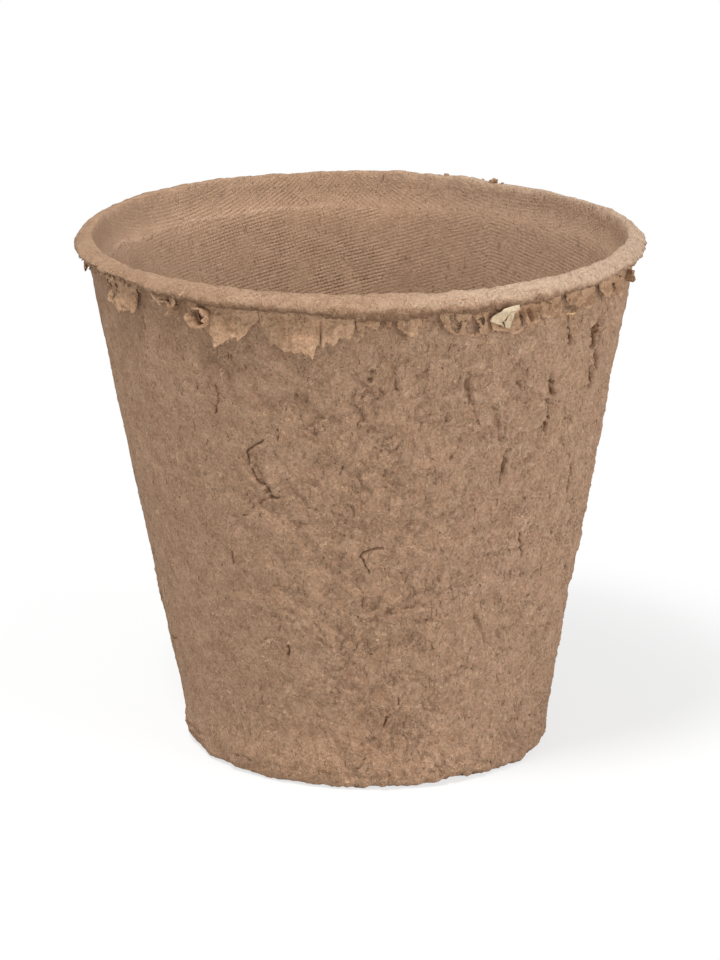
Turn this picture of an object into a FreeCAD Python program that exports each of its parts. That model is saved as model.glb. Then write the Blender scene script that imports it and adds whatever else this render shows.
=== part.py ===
# Round pot of moulded peat and wood pulp, with a rolled rim and a torn skirt of flash under it.
# Origin: centre of the underside. +Z runs up the pot's axis and -Y is the front. Units are millimetres.

import FreeCAD
import Part

import math
import os

# Overall size of the moulding
rim_diameter = 102.0
pot_height = 93.5
base_diameter = 65.0
wall_thickness = 2.2
floor_thickness = 2.4
heel_radius = 3.8
inner_heel_chamfer = 2.0

# Rolled rim: a lip that stands out from the wall. From a level land at the mouth, its top falls away to a
# round shoulder.
rim_height = 4.3
rim_overhang = 2.5
mouth_land = 0.9
mouth_chamfer = 0.4
shoulder_drop = 1.2
shoulder_radius = 2.2
lip_chamfer = 0.8

# Ledge inside the mouth, on which a nested pot would stop
ledge_depth = 6.6
ledge_step = 0.5
ledge_rise = 0.4

# Drain hole in the middle of the floor
drain_diameter = 9.5

# Skin of flash that hangs under the rim
flash_thickness = 0.5
flash_drop = 6.9
flash_gap = 0.25

# Pleated strips of flash
pleat_wave = 0.4

# Strips of flash that have rolled up
curl_diameter = 3.7
curl_thickness = 0.55
curl_reach = 1.9

# Scraps that lie on the pot
chip_thickness = 0.4
chip_drop = 3.4
splinter_length = 2.8
splinter_diameter = 0.42
splinter_depth = 8.0
crumb_length = 1.9
crumb_diameter = 1.3

# How far a cutting shape runs past what it cuts
overrun = 1.0

# Worked out from the sizes above
base_radius = base_diameter / 2
rim_radius = rim_diameter / 2
neck_height = pot_height - rim_height
neck_radius = rim_radius - rim_overhang
wall_slope = (neck_radius - base_radius) / neck_height
wall_angle = math.atan(wall_slope)

# Torn sheets of flash. Azimuth counts in degrees from the front, positive towards +X, and spread is the angle
# that the sheet covers. Drop is a share of flash_drop. The sheet follows the wall down to its elbow, and from
# there it lifts: the elbow's place and the lift of the tip are shares of the drop. The torn edge is a list of
# (share across the sheet, share of its drop), from one side to the other.
torn_sheet_shares = {
    "torn_patch_left": {
        "azimuth": -56.5, "spread": 13.0, "drop_share": 0.76, "elbow_share": 0.30, "lift_share": 0.14,
        "edge_shares": [(-0.50, 0.70), (-0.42, 0.98), (-0.26, 0.94), (-0.10, 1.00), (0.06, 0.80),
                        (0.26, 0.74), (0.36, 0.52), (0.50, 0.40)],
    },
    "torn_tongue_pointed": {
        "azimuth": -28.0, "spread": 15.5, "drop_share": 0.96, "elbow_share": 0.45, "lift_share": 0.16,
        "edge_shares": [(-0.50, 0.55), (-0.38, 0.62), (-0.24, 0.60), (-0.12, 0.72), (-0.08, 1.00),
                        (0.00, 0.89), (0.18, 0.70), (0.22, 0.77), (0.31, 0.62), (0.39, 0.34), (0.50, 0.26)],
    },
    "torn_sheet_broad": {
        "azimuth": -10.4, "spread": 18.8, "drop_share": 1.00, "elbow_share": 0.40, "lift_share": 0.12,
        "edge_shares": [(-0.50, 0.25), (-0.41, 0.74), (-0.24, 0.91), (-0.03, 0.85), (0.05, 0.93),
                        (0.08, 1.00), (0.10, 0.68), (0.17, 0.74), (0.20, 0.62), (0.28, 0.70), (0.34, 0.51),
                        (0.43, 0.56), (0.50, 0.30)],
    },
    "torn_tab_middle": {
        "azimuth": 1.6, "spread": 3.8, "drop_share": 0.34, "elbow_share": 0.40, "lift_share": 0.20,
        "edge_shares": [(-0.50, 0.74), (-0.28, 0.96), (-0.06, 0.42), (0.16, 0.46), (0.34, 1.00),
                        (0.50, 0.50)],
    },
    "torn_tab_centre": {
        "azimuth": 9.5, "spread": 5.4, "drop_share": 0.45, "elbow_share": 0.35, "lift_share": 0.18,
        "edge_shares": [(-0.50, 0.26), (-0.42, 0.62), (-0.05, 0.96), (0.28, 1.00), (0.42, 0.62),
                        (0.50, 0.28)],
    },
    "torn_tab_right": {
        "azimuth": 40.2, "spread": 6.2, "drop_share": 0.48, "elbow_share": 0.40, "lift_share": 0.18,
        "edge_shares": [(-0.50, 0.50), (-0.26, 0.76), (-0.05, 0.85), (0.19, 1.00), (0.40, 0.70),
                        (0.50, 0.40)],
    },
    "torn_tab_far_right": {
        "azimuth": 49.8, "spread": 8.8, "drop_share": 0.36, "elbow_share": 0.40, "lift_share": 0.22,
        "edge_shares": [(-0.50, 0.28), (-0.38, 0.50), (-0.14, 1.00), (0.10, 0.90), (0.35, 0.76),
                        (0.50, 0.46)],
    },
    "torn_tatter_far_right": {
        "azimuth": 61.5, "spread": 10.5, "drop_share": 0.34, "elbow_share": 0.40, "lift_share": 0.26,
        "edge_shares": [(-0.50, 0.40), (-0.38, 0.92), (-0.26, 0.58), (-0.10, 0.70), (0.02, 1.00),
                        (0.16, 0.54), (0.28, 0.88), (0.40, 0.72), (0.50, 0.34)],
    },
    "torn_sheet_back_right": {
        "azimuth": 104.0, "spread": 17.0, "drop_share": 0.68, "elbow_share": 0.45, "lift_share": 0.12,
        "edge_shares": [(-0.50, 0.34), (-0.40, 0.60), (-0.28, 0.56), (-0.16, 0.94), (-0.04, 0.82),
                        (0.08, 1.00), (0.20, 0.72), (0.34, 0.78), (0.50, 0.38)],
    },
    "torn_tongue_back_right": {
        "azimuth": 142.0, "spread": 12.0, "drop_share": 0.84, "elbow_share": 0.45, "lift_share": 0.14,
        "edge_shares": [(-0.50, 0.30), (-0.36, 0.44), (-0.22, 0.76), (-0.04, 0.82), (0.10, 1.00),
                        (0.20, 0.74), (0.36, 0.52), (0.50, 0.42)],
    },
    "torn_sheet_back": {
        "azimuth": 176.0, "spread": 20.0, "drop_share": 0.90, "elbow_share": 0.45, "lift_share": 0.10,
        "edge_shares": [(-0.50, 0.26), (-0.42, 0.52), (-0.30, 0.68), (-0.18, 0.64), (-0.08, 0.96),
                        (0.02, 1.00), (0.12, 0.78), (0.24, 0.82), (0.36, 0.58), (0.50, 0.30)],
    },
    "torn_tab_back_left": {
        "azimuth": 216.0, "spread": 7.0, "drop_share": 0.50, "elbow_share": 0.40, "lift_share": 0.18,
        "edge_shares": [(-0.50, 0.40), (-0.30, 0.84), (-0.08, 0.74), (0.12, 1.00), (0.34, 0.70),
                        (0.50, 0.36)],
    },
    "torn_tongue_left": {
        "azimuth": 266.0, "spread": 13.0, "drop_share": 0.70, "elbow_share": 0.45, "lift_share": 0.14,
        "edge_shares": [(-0.50, 0.32), (-0.36, 0.64), (-0.20, 0.58), (-0.06, 0.90), (0.06, 1.00),
                        (0.22, 0.66), (0.36, 0.74), (0.50, 0.40)],
    },
}

# Webs of flash with slits torn open in them. A slit is (share across, share down, width as a share of the
# web's own width, height as a share of its drop).
torn_web_shares = {
    "torn_web_right": {
        "azimuth": 20.9, "spread": 10.4, "drop_share": 0.60, "elbow_share": 0.30, "lift_share": 0.14,
        "edge_shares": [(-0.50, 0.30), (-0.38, 0.66), (-0.20, 0.86), (-0.04, 0.82), (0.12, 0.96),
                        (0.26, 0.92), (0.42, 1.00), (0.50, 0.56)],
        "slit_shares": [(-0.22, 0.42, 0.20, 0.50), (0.11, 0.48, 0.26, 0.62)],
    },
}

# Pleated strips of flash, with the number of full pleats in each.
pleated_frill_shares = {
    "pleated_frill_right": {
        "azimuth": 35.0, "spread": 4.2, "drop_share": 0.38, "pleats": 2,
        "edge_shares": [(-0.50, 0.70), (-0.26, 1.00), (-0.06, 0.84), (0.16, 0.96), (0.50, 0.72)],
    },
}

# Strips that have rolled up. Size is a share of curl_diameter. Depth is how far the middle of the roll lies
# under the rim, as a share of that size. The roll is open between the two angles, in degrees.
rolled_curl_shares = {
    "rolled_curl_left": {
        "azimuth": -41.3, "size_share": 0.66, "depth_share": 0.54, "open_from": 190, "open_to": 290,
    },
    "rolled_curl_front": {
        "azimuth": -34.2, "size_share": 1.00, "depth_share": 0.56, "open_from": 215, "open_to": 255,
    },
    "rolled_curl_far_right": {
        "azimuth": 73.0, "size_share": 0.60, "depth_share": 0.56, "open_from": 200, "open_to": 300,
    },
}

# Pale chip of paper under the rim, its outline given like a torn sheet's
chip_shares = {
    "azimuth": 29.5, "spread": 5.9, "elbow_share": 0.20, "lift_share": 0.26,
    "edge_shares": [(-0.50, 0.66), (-0.16, 0.92), (0.04, 0.98), (0.09, 0.66), (0.20, 1.00), (0.34, 0.96),
                    (0.50, 0.30)],
}

splinter_azimuth = 47.5

# Crumbs on the rim: azimuth, tilt from the horizontal in degrees, and size as a share of the named one. Each
# is broken off flat on this many sides, and its far end is this share of the near one.
crumb_shares = [(160.0, 12.0, 0.45), (148.5, -18.0, 1.00)]
crumb_sides = 6
crumb_taper_share = 0.5


def point(radius, height):
    """A point of the profile, on the XZ plane."""
    return FreeCAD.Vector(radius, 0, height)


def around(shape, azimuth):
    """The shape, turned about the axis from +X to an azimuth that counts from the front."""
    turned = shape.copy()
    turned.rotate(FreeCAD.Vector(0, 0, 0), FreeCAD.Vector(0, 0, 1), azimuth - 90)
    return turned


def wall_radius_at(height):
    """Radius of the outer face of the wall."""
    return base_radius + wall_slope * height


def inner_radius_at(height, thickness):
    """Radius of a face inside the wall, with the thickness measured square to the wall."""
    return wall_radius_at(height) - thickness / math.cos(wall_angle)


def closed_outline(corners):
    """Wire through the corners. Each is (place, how it is finished, size of that finish)."""
    ends = []
    for i, (place, finish, size) in enumerate(corners):
        back = (corners[i - 1][0] - place).normalize()
        ahead = (corners[(i + 1) % len(corners)][0] - place).normalize()
        if finish == "sharp":
            ends.append((place, None, place))
        elif finish == "chamfer":
            ends.append((place + back * size, "line", place + ahead * size))
        else:
            half = back.getAngle(ahead) / 2
            reach = size / math.tan(half)
            nearest = place + (back + ahead).normalize() * (size / math.sin(half) - size)
            ends.append((place + back * reach, nearest, place + ahead * reach))
    edges = []
    for i, (start, finish, end) in enumerate(ends):
        edges.append(Part.LineSegment(ends[i - 1][2], start).toShape())
        if finish == "line":
            edges.append(Part.LineSegment(start, end).toShape())
        elif finish is not None:
            edges.append(Part.Arc(start, finish, end).toShape())
    return Part.Wire(edges)


def turned_solid(outline, angle):
    """Solid of revolution about the pot's axis, from an outline on the XZ plane."""
    return Part.Face(outline).revolve(FreeCAD.Vector(0, 0, 0), FreeCAD.Vector(0, 0, 1), angle)


def make_moulded_pot():
    """Floor, heel, slanted wall, ledge and rolled rim: one moulding, turned about the axis."""
    drain_radius = drain_diameter / 2
    ledge_height = pot_height - ledge_depth
    shelf_height = ledge_height - ledge_rise
    mouth_thickness = wall_thickness - ledge_step
    mouth_radius = inner_radius_at(pot_height, mouth_thickness)
    outline = closed_outline([
        (point(drain_radius, 0), "sharp", 0),
        (point(base_radius, 0), "round", heel_radius),
        (point(neck_radius, neck_height), "sharp", 0),
        (point(rim_radius, neck_height), "chamfer", lip_chamfer),
        (point(rim_radius, pot_height - shoulder_drop), "round", shoulder_radius),
        (point(mouth_radius + mouth_land, pot_height), "sharp", 0),
        (point(mouth_radius, pot_height), "chamfer", mouth_chamfer),
        (point(inner_radius_at(ledge_height, mouth_thickness), ledge_height), "sharp", 0),
        (point(inner_radius_at(shelf_height, wall_thickness), shelf_height), "sharp", 0),
        (point(inner_radius_at(floor_thickness, wall_thickness), floor_thickness), "chamfer",
         inner_heel_chamfer),
        (point(drain_radius, floor_thickness), "sharp", 0),
    ])
    return turned_solid(outline, 360)


def torn_prism(drop, sheet):
    """Prism about azimuth 90 (+X), whose lower outline is the sheet's torn edge."""
    inside = wall_radius_at(neck_height - drop) - overrun
    depth = rim_radius - inside + overrun
    width = 2 * neck_radius * math.sin(math.radians(sheet["spread"] / 2))
    top = neck_height + rim_height / 2
    edge = [(across * width, neck_height - down * drop) for across, down in sheet["edge_shares"]]
    outline = [(edge[0][0], top)] + edge + [(edge[-1][0], top), (edge[0][0], top)]
    face = Part.Face(Part.makePolygon([FreeCAD.Vector(inside, across, height) for across, height in outline]))
    return face.extrude(FreeCAD.Vector(depth, 0, 0))


def hanging_band(drop, sheet, gap, thickness):
    """Band of skin about azimuth 90 (+X) that runs down the wall to its elbow and lifts from there."""
    top = neck_height + rim_height / 2
    elbow = neck_height - sheet["elbow_share"] * drop
    tip = neck_height - drop - overrun
    lift = sheet["lift_share"] * (elbow - tip)
    near = wall_radius_at(neck_height) + gap
    places = [(near, top), (wall_radius_at(elbow) + gap, elbow), (wall_radius_at(tip) + gap + lift, tip)]
    inner = [point(radius, height) for radius, height in places]
    outer = [point(radius + thickness, height) for radius, height in reversed(places)]
    outline = Part.makePolygon(inner + outer + inner[:1])
    cover = sheet["spread"] + math.degrees(overrun / neck_radius)
    outline.rotate(FreeCAD.Vector(0, 0, 0), FreeCAD.Vector(0, 0, 1), -cover / 2)
    return turned_solid(outline, cover)


def make_torn_sheet(moulding, sheet):
    """A sheet of flash that hangs from the underside of the rim."""
    drop = sheet["drop_share"] * flash_drop
    band = hanging_band(drop, sheet, flash_gap, flash_thickness)
    return around(band.common(torn_prism(drop, sheet)), sheet["azimuth"]).cut(moulding)


def make_torn_web(moulding, web):
    """A sheet of flash with slits torn open in it."""
    drop = web["drop_share"] * flash_drop
    width = 2 * neck_radius * math.sin(math.radians(web["spread"] / 2))
    inside = wall_radius_at(neck_height - drop) - overrun
    body = make_torn_sheet(moulding, web)
    for across, down, wide, high in web["slit_shares"]:
        middle = FreeCAD.Vector(inside, across * width, neck_height - down * drop)
        side = FreeCAD.Vector(0, wide * width / 2, 0)
        end = FreeCAD.Vector(0, 0, high * drop / 2)
        slit = Part.Wire([
            Part.Arc(middle - end, middle + side, middle + end).toShape(),
            Part.Arc(middle + end, middle - side, middle - end).toShape(),
        ])
        cutter = Part.Face(slit).extrude(FreeCAD.Vector(rim_radius - inside + overrun, 0, 0))
        body = body.cut(around(cutter, web["azimuth"]))
    return body


def make_pleated_frill(moulding, frill):
    """A strip of flash in upright pleats."""
    drop = frill["drop_share"] * flash_drop
    inner_radius = neck_radius + flash_gap + pleat_wave
    half_pleats = 2 * frill["pleats"]
    spread = math.radians(frill["spread"]) + 2 * overrun / neck_radius
    top = neck_height + rim_height / 2

    def pleat_point(step, offset):
        """Point on the pleats, where a whole step is a crossing and a half step is a crest or a hollow."""
        angle = spread * (step / half_pleats - 1 / 2)
        radius = inner_radius + offset + pleat_wave * math.sin(step * math.pi)
        return FreeCAD.Vector(radius * math.cos(angle), radius * math.sin(angle), top)

    def pleat_line(offset):
        return [
            Part.Arc(*[pleat_point(step + part, offset) for part in (0, 1 / 2, 1)]).toShape()
            for step in range(half_pleats)
        ]

    start = Part.LineSegment(pleat_point(0, 0), pleat_point(0, flash_thickness)).toShape()
    end = Part.LineSegment(pleat_point(half_pleats, 0), pleat_point(half_pleats, flash_thickness)).toShape()
    ring = Part.Wire(Part.__sortEdges__(pleat_line(0) + [end] + pleat_line(flash_thickness) + [start]))
    strip = Part.Face(ring).extrude(FreeCAD.Vector(0, 0, -(rim_height / 2 + drop + overrun)))
    return around(strip.common(torn_prism(drop, frill)), frill["azimuth"]).cut(moulding)


def make_rolled_curl(moulding, curl):
    """A strip of flash rolled into an open ring, whose end faces out from the wall."""
    outer_radius = curl["size_share"] * curl_diameter / 2
    inner_radius = outer_radius - curl_thickness
    height = neck_height - curl["depth_share"] * 2 * outer_radius
    start = wall_radius_at(height) - wall_thickness / 2
    first = math.radians(curl["open_to"])
    last = math.radians(curl["open_from"]) + 2 * math.pi

    def ring_point(radius, angle):
        return FreeCAD.Vector(start, radius * math.cos(angle), height + radius * math.sin(angle))

    def ring_arc(radius):
        return Part.Arc(*[ring_point(radius, angle) for angle in (first, (first + last) / 2, last)]).toShape()

    ends = [
        Part.LineSegment(ring_point(inner_radius, angle), ring_point(outer_radius, angle)).toShape()
        for angle in (first, last)
    ]
    outline = Part.Wire([ring_arc(outer_radius), ends[1], ring_arc(inner_radius), ends[0]])
    roll = Part.Face(outline).extrude(FreeCAD.Vector(wall_thickness / 2 + curl_reach, 0, 0))
    return around(roll, curl["azimuth"]).cut(moulding)


def make_paper_chip(moulding):
    """Pale scrap tucked up under the rim, where the flash has a gap."""
    band = hanging_band(chip_drop, chip_shares, flash_gap, chip_thickness)
    return around(band.common(torn_prism(chip_drop, chip_shares)), chip_shares["azimuth"]).cut(moulding)


def make_straw_splinter(moulding):
    """Bit of straw that lies across the wall, half sunk in it."""
    height = pot_height - splinter_depth
    place = FreeCAD.Vector(wall_radius_at(height), -splinter_length / 2, height)
    rod = Part.makeCylinder(splinter_diameter / 2, splinter_length, place, FreeCAD.Vector(0, 1, 0))
    return around(rod, splinter_azimuth).cut(moulding)


def crumb_ring(centre, tilt, radius):
    """Flat sided outline round a crumb, square to the way that it lies."""
    corners = []
    for side in range(crumb_sides + 1):
        angle = 2 * math.pi * side / crumb_sides
        corners.append(FreeCAD.Vector(radius * math.cos(angle), 0, radius * math.sin(angle)))
    ring = Part.makePolygon(corners)
    ring.rotate(FreeCAD.Vector(0, 0, 0), FreeCAD.Vector(1, 0, 0), tilt)
    ring.translate(centre)
    return ring


def make_rim_crumbs(moulding):
    """Crumbs of pulp stuck on the land of the rim, each a tapered lump that lies along it."""
    land_radius = inner_radius_at(pot_height, wall_thickness - ledge_step) + mouth_land / 2
    crumbs = []
    for azimuth, tilt, size in crumb_shares:
        radius = size * crumb_diameter / 2
        tilt_angle = math.radians(tilt)
        reach = FreeCAD.Vector(0, math.cos(tilt_angle), math.sin(tilt_angle)) * (size * crumb_length / 2)
        middle = point(land_radius, pot_height)
        near = crumb_ring(middle - reach, tilt, radius)
        far = crumb_ring(middle + reach, tilt, radius * crumb_taper_share)
        lump = Part.makeLoft([near, far], True, True)
        crumbs.append(around(lump, azimuth).cut(moulding))
    return Part.makeCompound([solid for crumb in crumbs for solid in crumb.Solids])


def main():
    moulding = make_moulded_pot()
    parts = {"moulded_pot": moulding}
    for name, sheet in torn_sheet_shares.items():
        parts[name] = make_torn_sheet(moulding, sheet)
    for name, web in torn_web_shares.items():
        parts[name] = make_torn_web(moulding, web)
    for name, frill in pleated_frill_shares.items():
        parts[name] = make_pleated_frill(moulding, frill)
    for name, curl in rolled_curl_shares.items():
        parts[name] = make_rolled_curl(moulding, curl)
    parts["paper_chip"] = make_paper_chip(moulding)
    parts["straw_splinter"] = make_straw_splinter(moulding)
    parts["rim_crumbs"] = make_rim_crumbs(moulding)

    os.makedirs("parts", exist_ok=True)
    for name, shape in parts.items():
        print(name, "solids", len(shape.Solids), "volume", round(shape.Volume, 2), "valid", shape.isValid())
        shape.exportStep("parts/" + name + ".step")


main()
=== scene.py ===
# Round pot of moulded peat and wood pulp, dressed round its CAD frame: crumpled wall, rolled rim, woven
# screen print inside and the torn skirt of flash under the rim. Lengths in the settings are millimetres.
import math
import random

import bmesh
import bpy
import numpy as np
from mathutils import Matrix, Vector, noise
from mathutils.bvhtree import BVHTree


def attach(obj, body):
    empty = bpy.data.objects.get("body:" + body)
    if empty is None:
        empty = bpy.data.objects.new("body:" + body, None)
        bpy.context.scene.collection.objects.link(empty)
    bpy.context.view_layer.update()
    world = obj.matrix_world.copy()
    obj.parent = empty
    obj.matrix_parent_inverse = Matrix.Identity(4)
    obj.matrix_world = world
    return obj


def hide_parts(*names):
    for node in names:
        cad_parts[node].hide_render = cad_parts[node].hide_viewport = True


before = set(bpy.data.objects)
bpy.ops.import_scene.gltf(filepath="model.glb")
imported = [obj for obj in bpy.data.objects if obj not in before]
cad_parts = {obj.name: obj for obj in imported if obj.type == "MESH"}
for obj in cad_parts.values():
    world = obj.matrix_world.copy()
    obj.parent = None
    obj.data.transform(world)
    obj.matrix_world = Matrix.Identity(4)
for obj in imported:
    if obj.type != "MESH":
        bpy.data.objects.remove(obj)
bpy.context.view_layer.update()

mm = 0.001
print("frame loaded:", len(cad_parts), "nodes")

# Small helpers for node trees: the tree that is being built lies on the bench

bench = {"tree": None}


def workOn(tree):
    bench["tree"] = tree
    return tree


def addNode(kind, inputs=None, **settings):
    node = bench["tree"].nodes.new(kind)
    for name, value in settings.items():
        setattr(node, name, value)
    for socket, value in (inputs or {}).items():
        feed(node, socket, value)
    return node


def feed(node, socket, value):
    # a socket is linked, anything else becomes the socket's own value
    if isinstance(value, bpy.types.NodeSocket):
        node.id_data.links.new(value, node.inputs[socket])
    elif value is not None:
        node.inputs[socket].default_value = value


def maths(operation, *values):
    return addNode("ShaderNodeMath", dict(enumerate(values)), operation=operation).outputs[0]


# sockets take part in sums, and every sign adds a Math node
for sign, operation in (("add", "ADD"), ("sub", "SUBTRACT"), ("mul", "MULTIPLY"), ("truediv", "DIVIDE"),
                        ("pow", "POWER")):
    setattr(bpy.types.NodeSocket, f"__{sign}__", lambda one, two, kind=operation: maths(kind, one, two))
    setattr(bpy.types.NodeSocket, f"__r{sign}__", lambda one, two, kind=operation: maths(kind, two, one))
bpy.types.NodeSocket.__abs__ = lambda one: maths("ABSOLUTE", one)


def vectors(operation, first, second=None, scale=None):
    node = addNode("ShaderNodeVectorMath", {0: first, 1: second, "Scale": scale}, operation=operation)
    return node.outputs["Value" if operation == "LENGTH" else "Vector"]


def scaled(vector, amount):
    return vectors("SCALE", vector, scale=amount)


def joinVector(x, y, z):
    return addNode("ShaderNodeCombineXYZ", {0: x, 1: y, 2: z}).outputs[0]


def splitVector(vector):
    return addNode("ShaderNodeSeparateXYZ", {0: vector}).outputs


def grain(place, scale, detail=2.0, roughness=0.5, distortion=0.0, output=0):
    # plain noise from 0 to 1, with about 0.5 in the middle
    return addNode("ShaderNodeTexNoise", {
        "Vector": place, "Scale": scale, "Detail": detail, "Roughness": roughness, "Distortion": distortion,
    }).outputs[output]


def ramp(value, fromLow, fromHigh, toLow=0.0, toHigh=1.0, kind="SMOOTHSTEP"):
    numbers = dict(enumerate((value, fromLow, fromHigh, toLow, toHigh)))
    return addNode("ShaderNodeMapRange", numbers, interpolation_type=kind, clamp=True).outputs[0]


def choose(share, first, second):
    # an even slide from the first value to the second
    return ramp(share, 0.0, 1.0, first, second, "LINEAR")


def centred(place, scale, amount, **more):
    # noise about zero, of plus or minus half the amount
    return (grain(place, scale, **more) - 0.5) * amount


def newTree(name, kind, inputs, outputs):
    tree = workOn(bpy.data.node_groups.new(name, kind))
    for inOut, sockets in (("INPUT", inputs), ("OUTPUT", outputs)):
        for label, socketKind, value in sockets:
            kindName = "NodeSocket" + socketKind
            socket = tree.interface.new_socket(name=label, in_out=inOut, socket_type=kindName)
            if value is not None:
                socket.default_value = value
    start = addNode("NodeGroupInput")
    return tree, start.outputs, addNode("NodeGroupOutput")


def shapeTree(name, inputs):
    # a tree that takes a geometry, a material and the inputs named, and gives a geometry
    geometry = [("Geometry", "Geometry", None)]
    return newTree(name, "GeometryNodeTree", geometry + inputs + [("Material", "Material", None)], geometry)


def attribute(name):
    node = addNode("GeometryNodeInputNamedAttribute", {"Name": name}, data_type="FLOAT")
    return node.outputs["Attribute"]


def keep(geometry, name, value):
    node = addNode("GeometryNodeStoreNamedAttribute", {"Geometry": geometry, "Name": name, "Value": value},
                   data_type="FLOAT", domain="POINT")
    return node.outputs["Geometry"]


def placeInMm():
    return scaled(addNode("GeometryNodeInputPosition").outputs[0], 1 / mm)


def moveTo(geometry, position=None, offset=None):
    node = addNode("GeometryNodeSetPosition", {0: geometry, "Position": position, "Offset": offset})
    return node.outputs[0]


def painted(geometry, material, end):
    real = addNode("GeometryNodeRealizeInstances", {0: geometry})
    paint = addNode("GeometryNodeSetMaterial", {"Geometry": real.outputs[0], "Material": material})
    feed(end, 0, paint.outputs[0])


def curveOf(value, points):
    # a drawn curve from (place, height) pairs, both from 0 to 1
    node = addNode("ShaderNodeFloatCurve", {"Value": value})
    line = node.mapping.curves[0]
    for i, (place, height) in enumerate(points):
        if i < 2:
            line.points[i].location = (place, height)
        else:
            line.points.new(place, height)
    node.mapping.update()
    return node.outputs[0]


def bakeModifiers(piece):
    # swaps the piece's mesh for what its modifiers make of it
    bpy.context.view_layer.update()
    ready = piece.evaluated_get(bpy.context.evaluated_depsgraph_get())
    mesh = bpy.data.meshes.new_from_object(ready)
    piece.modifiers.clear()
    old = piece.data
    piece.data = mesh
    mesh.name = piece.name
    bpy.data.meshes.remove(old)
    return piece


def runTree(piece, tree, values):
    modifier = piece.modifiers.new(tree.name, "NODES")
    modifier.node_group = tree
    for item in tree.interface.items_tree:
        if item.item_type == "SOCKET" and item.in_out == "INPUT" and item.name in values:
            modifier[item.identifier] = values[item.name]
    return bakeModifiers(piece)


def thinOut(piece, triangles):
    # fewer triangles where the surface is calm, and nothing left below the floor by it
    thinner = piece.modifiers.new("thinned", "DECIMATE")
    thinner.ratio = triangles / sum(len(face.vertices) - 2 for face in piece.data.polygons)
    bakeModifiers(piece)
    for vertex in piece.data.vertices:
        vertex.co.z = max(vertex.co.z, 0.0)
    return piece


def addPiece(name, mesh):
    piece = bpy.data.objects.new(name, mesh)
    bpy.context.scene.collection.objects.link(piece)
    return piece


def settle(piece, slot, *nodes):
    # smooth shading, then the piece rides the pot and stands for its CAD nodes
    for face in piece.data.polygons:
        face.use_smooth = True
    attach(piece, "root")
    if nodes:
        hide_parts(*nodes)
    return piece


# Camera, floor and light

camera = {
    "lens": 131.7, "sensor": 36, "distance": 637.5, "elevation": 17.14, "aim": (0.0, 0.0, 46.46),
}


def makeCamera():
    data = bpy.data.cameras.new("camera")
    data.lens = camera["lens"]
    data.sensor_width = camera["sensor"]
    data.clip_start = 0.05
    data.clip_end = 20
    eye = bpy.data.objects.new("camera", data)
    bpy.context.scene.collection.objects.link(eye)
    tilt = math.radians(camera["elevation"])
    aim = Vector(camera["aim"]) * mm
    eye.location = aim + Vector((0, -math.cos(tilt), math.sin(tilt))) * camera["distance"] * mm
    eye.rotation_euler = (math.pi / 2 - tilt, 0, 0)
    bpy.context.scene.camera = eye


studio = {
    "floorRadius": 2.6, "floorColour": (0.76, 0.76, 0.755), "worldLight": 0.50,
    "shadowReach": (0.055, 0.13),  # the floor's shadow fades to the white backdrop between these distances
    # name: (place in metres, size, watts)
    "lamps": {
        "keyLamp": ((-0.30, -0.40, 1.18), 0.30, 14.9),
        "fillLamp": ((1.14, -0.80, 0.42), 0.80, 11.0),
    },
}


def seenDirectly():
    path = addNode("ShaderNodeLightPath").outputs
    return maths("MAXIMUM", path["Is Camera Ray"],
                 maths("MAXIMUM", path["Is Glossy Ray"], path["Is Transmission Ray"]))


def makeStudio():
    scene = bpy.context.scene
    world = bpy.data.worlds.new("studio")
    world.use_nodes = True
    back = workOn(world.node_tree).nodes["Background"]
    back.inputs["Color"].default_value = (1, 1, 1, 1)
    feed(back, "Strength", choose(seenDirectly(), studio["worldLight"], 1.0))
    scene.world = world

    mesh = bpy.data.meshes.new("floor")
    form = bmesh.new()
    bmesh.ops.create_circle(form, cap_ends=True, segments=96, radius=studio["floorRadius"])
    form.to_mesh(mesh)
    form.free()
    floor = addPiece("floor", mesh)
    floor.location.z = -0.02 * mm
    pale = bpy.data.materials.new("paleFloor")
    pale.use_nodes = True
    tree = workOn(pale.node_tree)
    shader = tree.nodes["Principled BSDF"]
    for label, value in (("Base Color", (*studio["floorColour"], 1)), ("Roughness", 0.9),
                         ("Specular IOR Level", 0.1)):
        feed(shader, label, value)
    # further out the floor reads as the white backdrop
    away = vectors("LENGTH", addNode("ShaderNodeTexCoord").outputs["Object"])
    white = addNode("ShaderNodeEmission")
    mixed = addNode("ShaderNodeMixShader", {
        0: seenDirectly() * ramp(away, *studio["shadowReach"], 0.72), 1: shader.outputs[0],
        2: white.outputs[0],
    })
    feed(tree.nodes["Material Output"], "Surface", mixed.outputs[0])
    mesh.materials.append(pale)

    for name, (place, size, watts) in studio["lamps"].items():
        data = bpy.data.lights.new(name, "AREA")
        data.shape = "DISK"
        data.size = size
        data.energy = watts
        lamp = bpy.data.objects.new(name, data)
        scene.collection.objects.link(lamp)
        lamp.location = place
        lamp.rotation_euler = (Vector((0, 0, 0.05)) - Vector(place)).to_track_quat("-Z", "Y").to_euler()
    scene.view_settings.view_transform = "Standard"


makeCamera()
makeStudio()
print("camera and studio ready")

# The moulded pot

pot = {
    "height": 93.5, "rimRadius": 51.0, "neckRadius": 48.5, "neckHeight": 89.2, "baseRadius": 32.5,
    "wallThickness": 2.2, "floorThickness": 2.4, "drainRadius": 4.75, "ledgeDepth": 6.6,
    "lean": 1.2, "columns": 1150, "triangles": 190000,
    "outerPitch": 0.27, "rimPitch": 0.22, "insidePitch": 0.8, "floorPitch": 1.0,
}
slope = (pot["neckRadius"] - pot["baseRadius"]) / pot["neckHeight"]
widestTrim = pot["rimRadius"] - 0.05  # nothing small passes this radius


def wallRadius(height):
    return pot["baseRadius"] + slope * height


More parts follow.
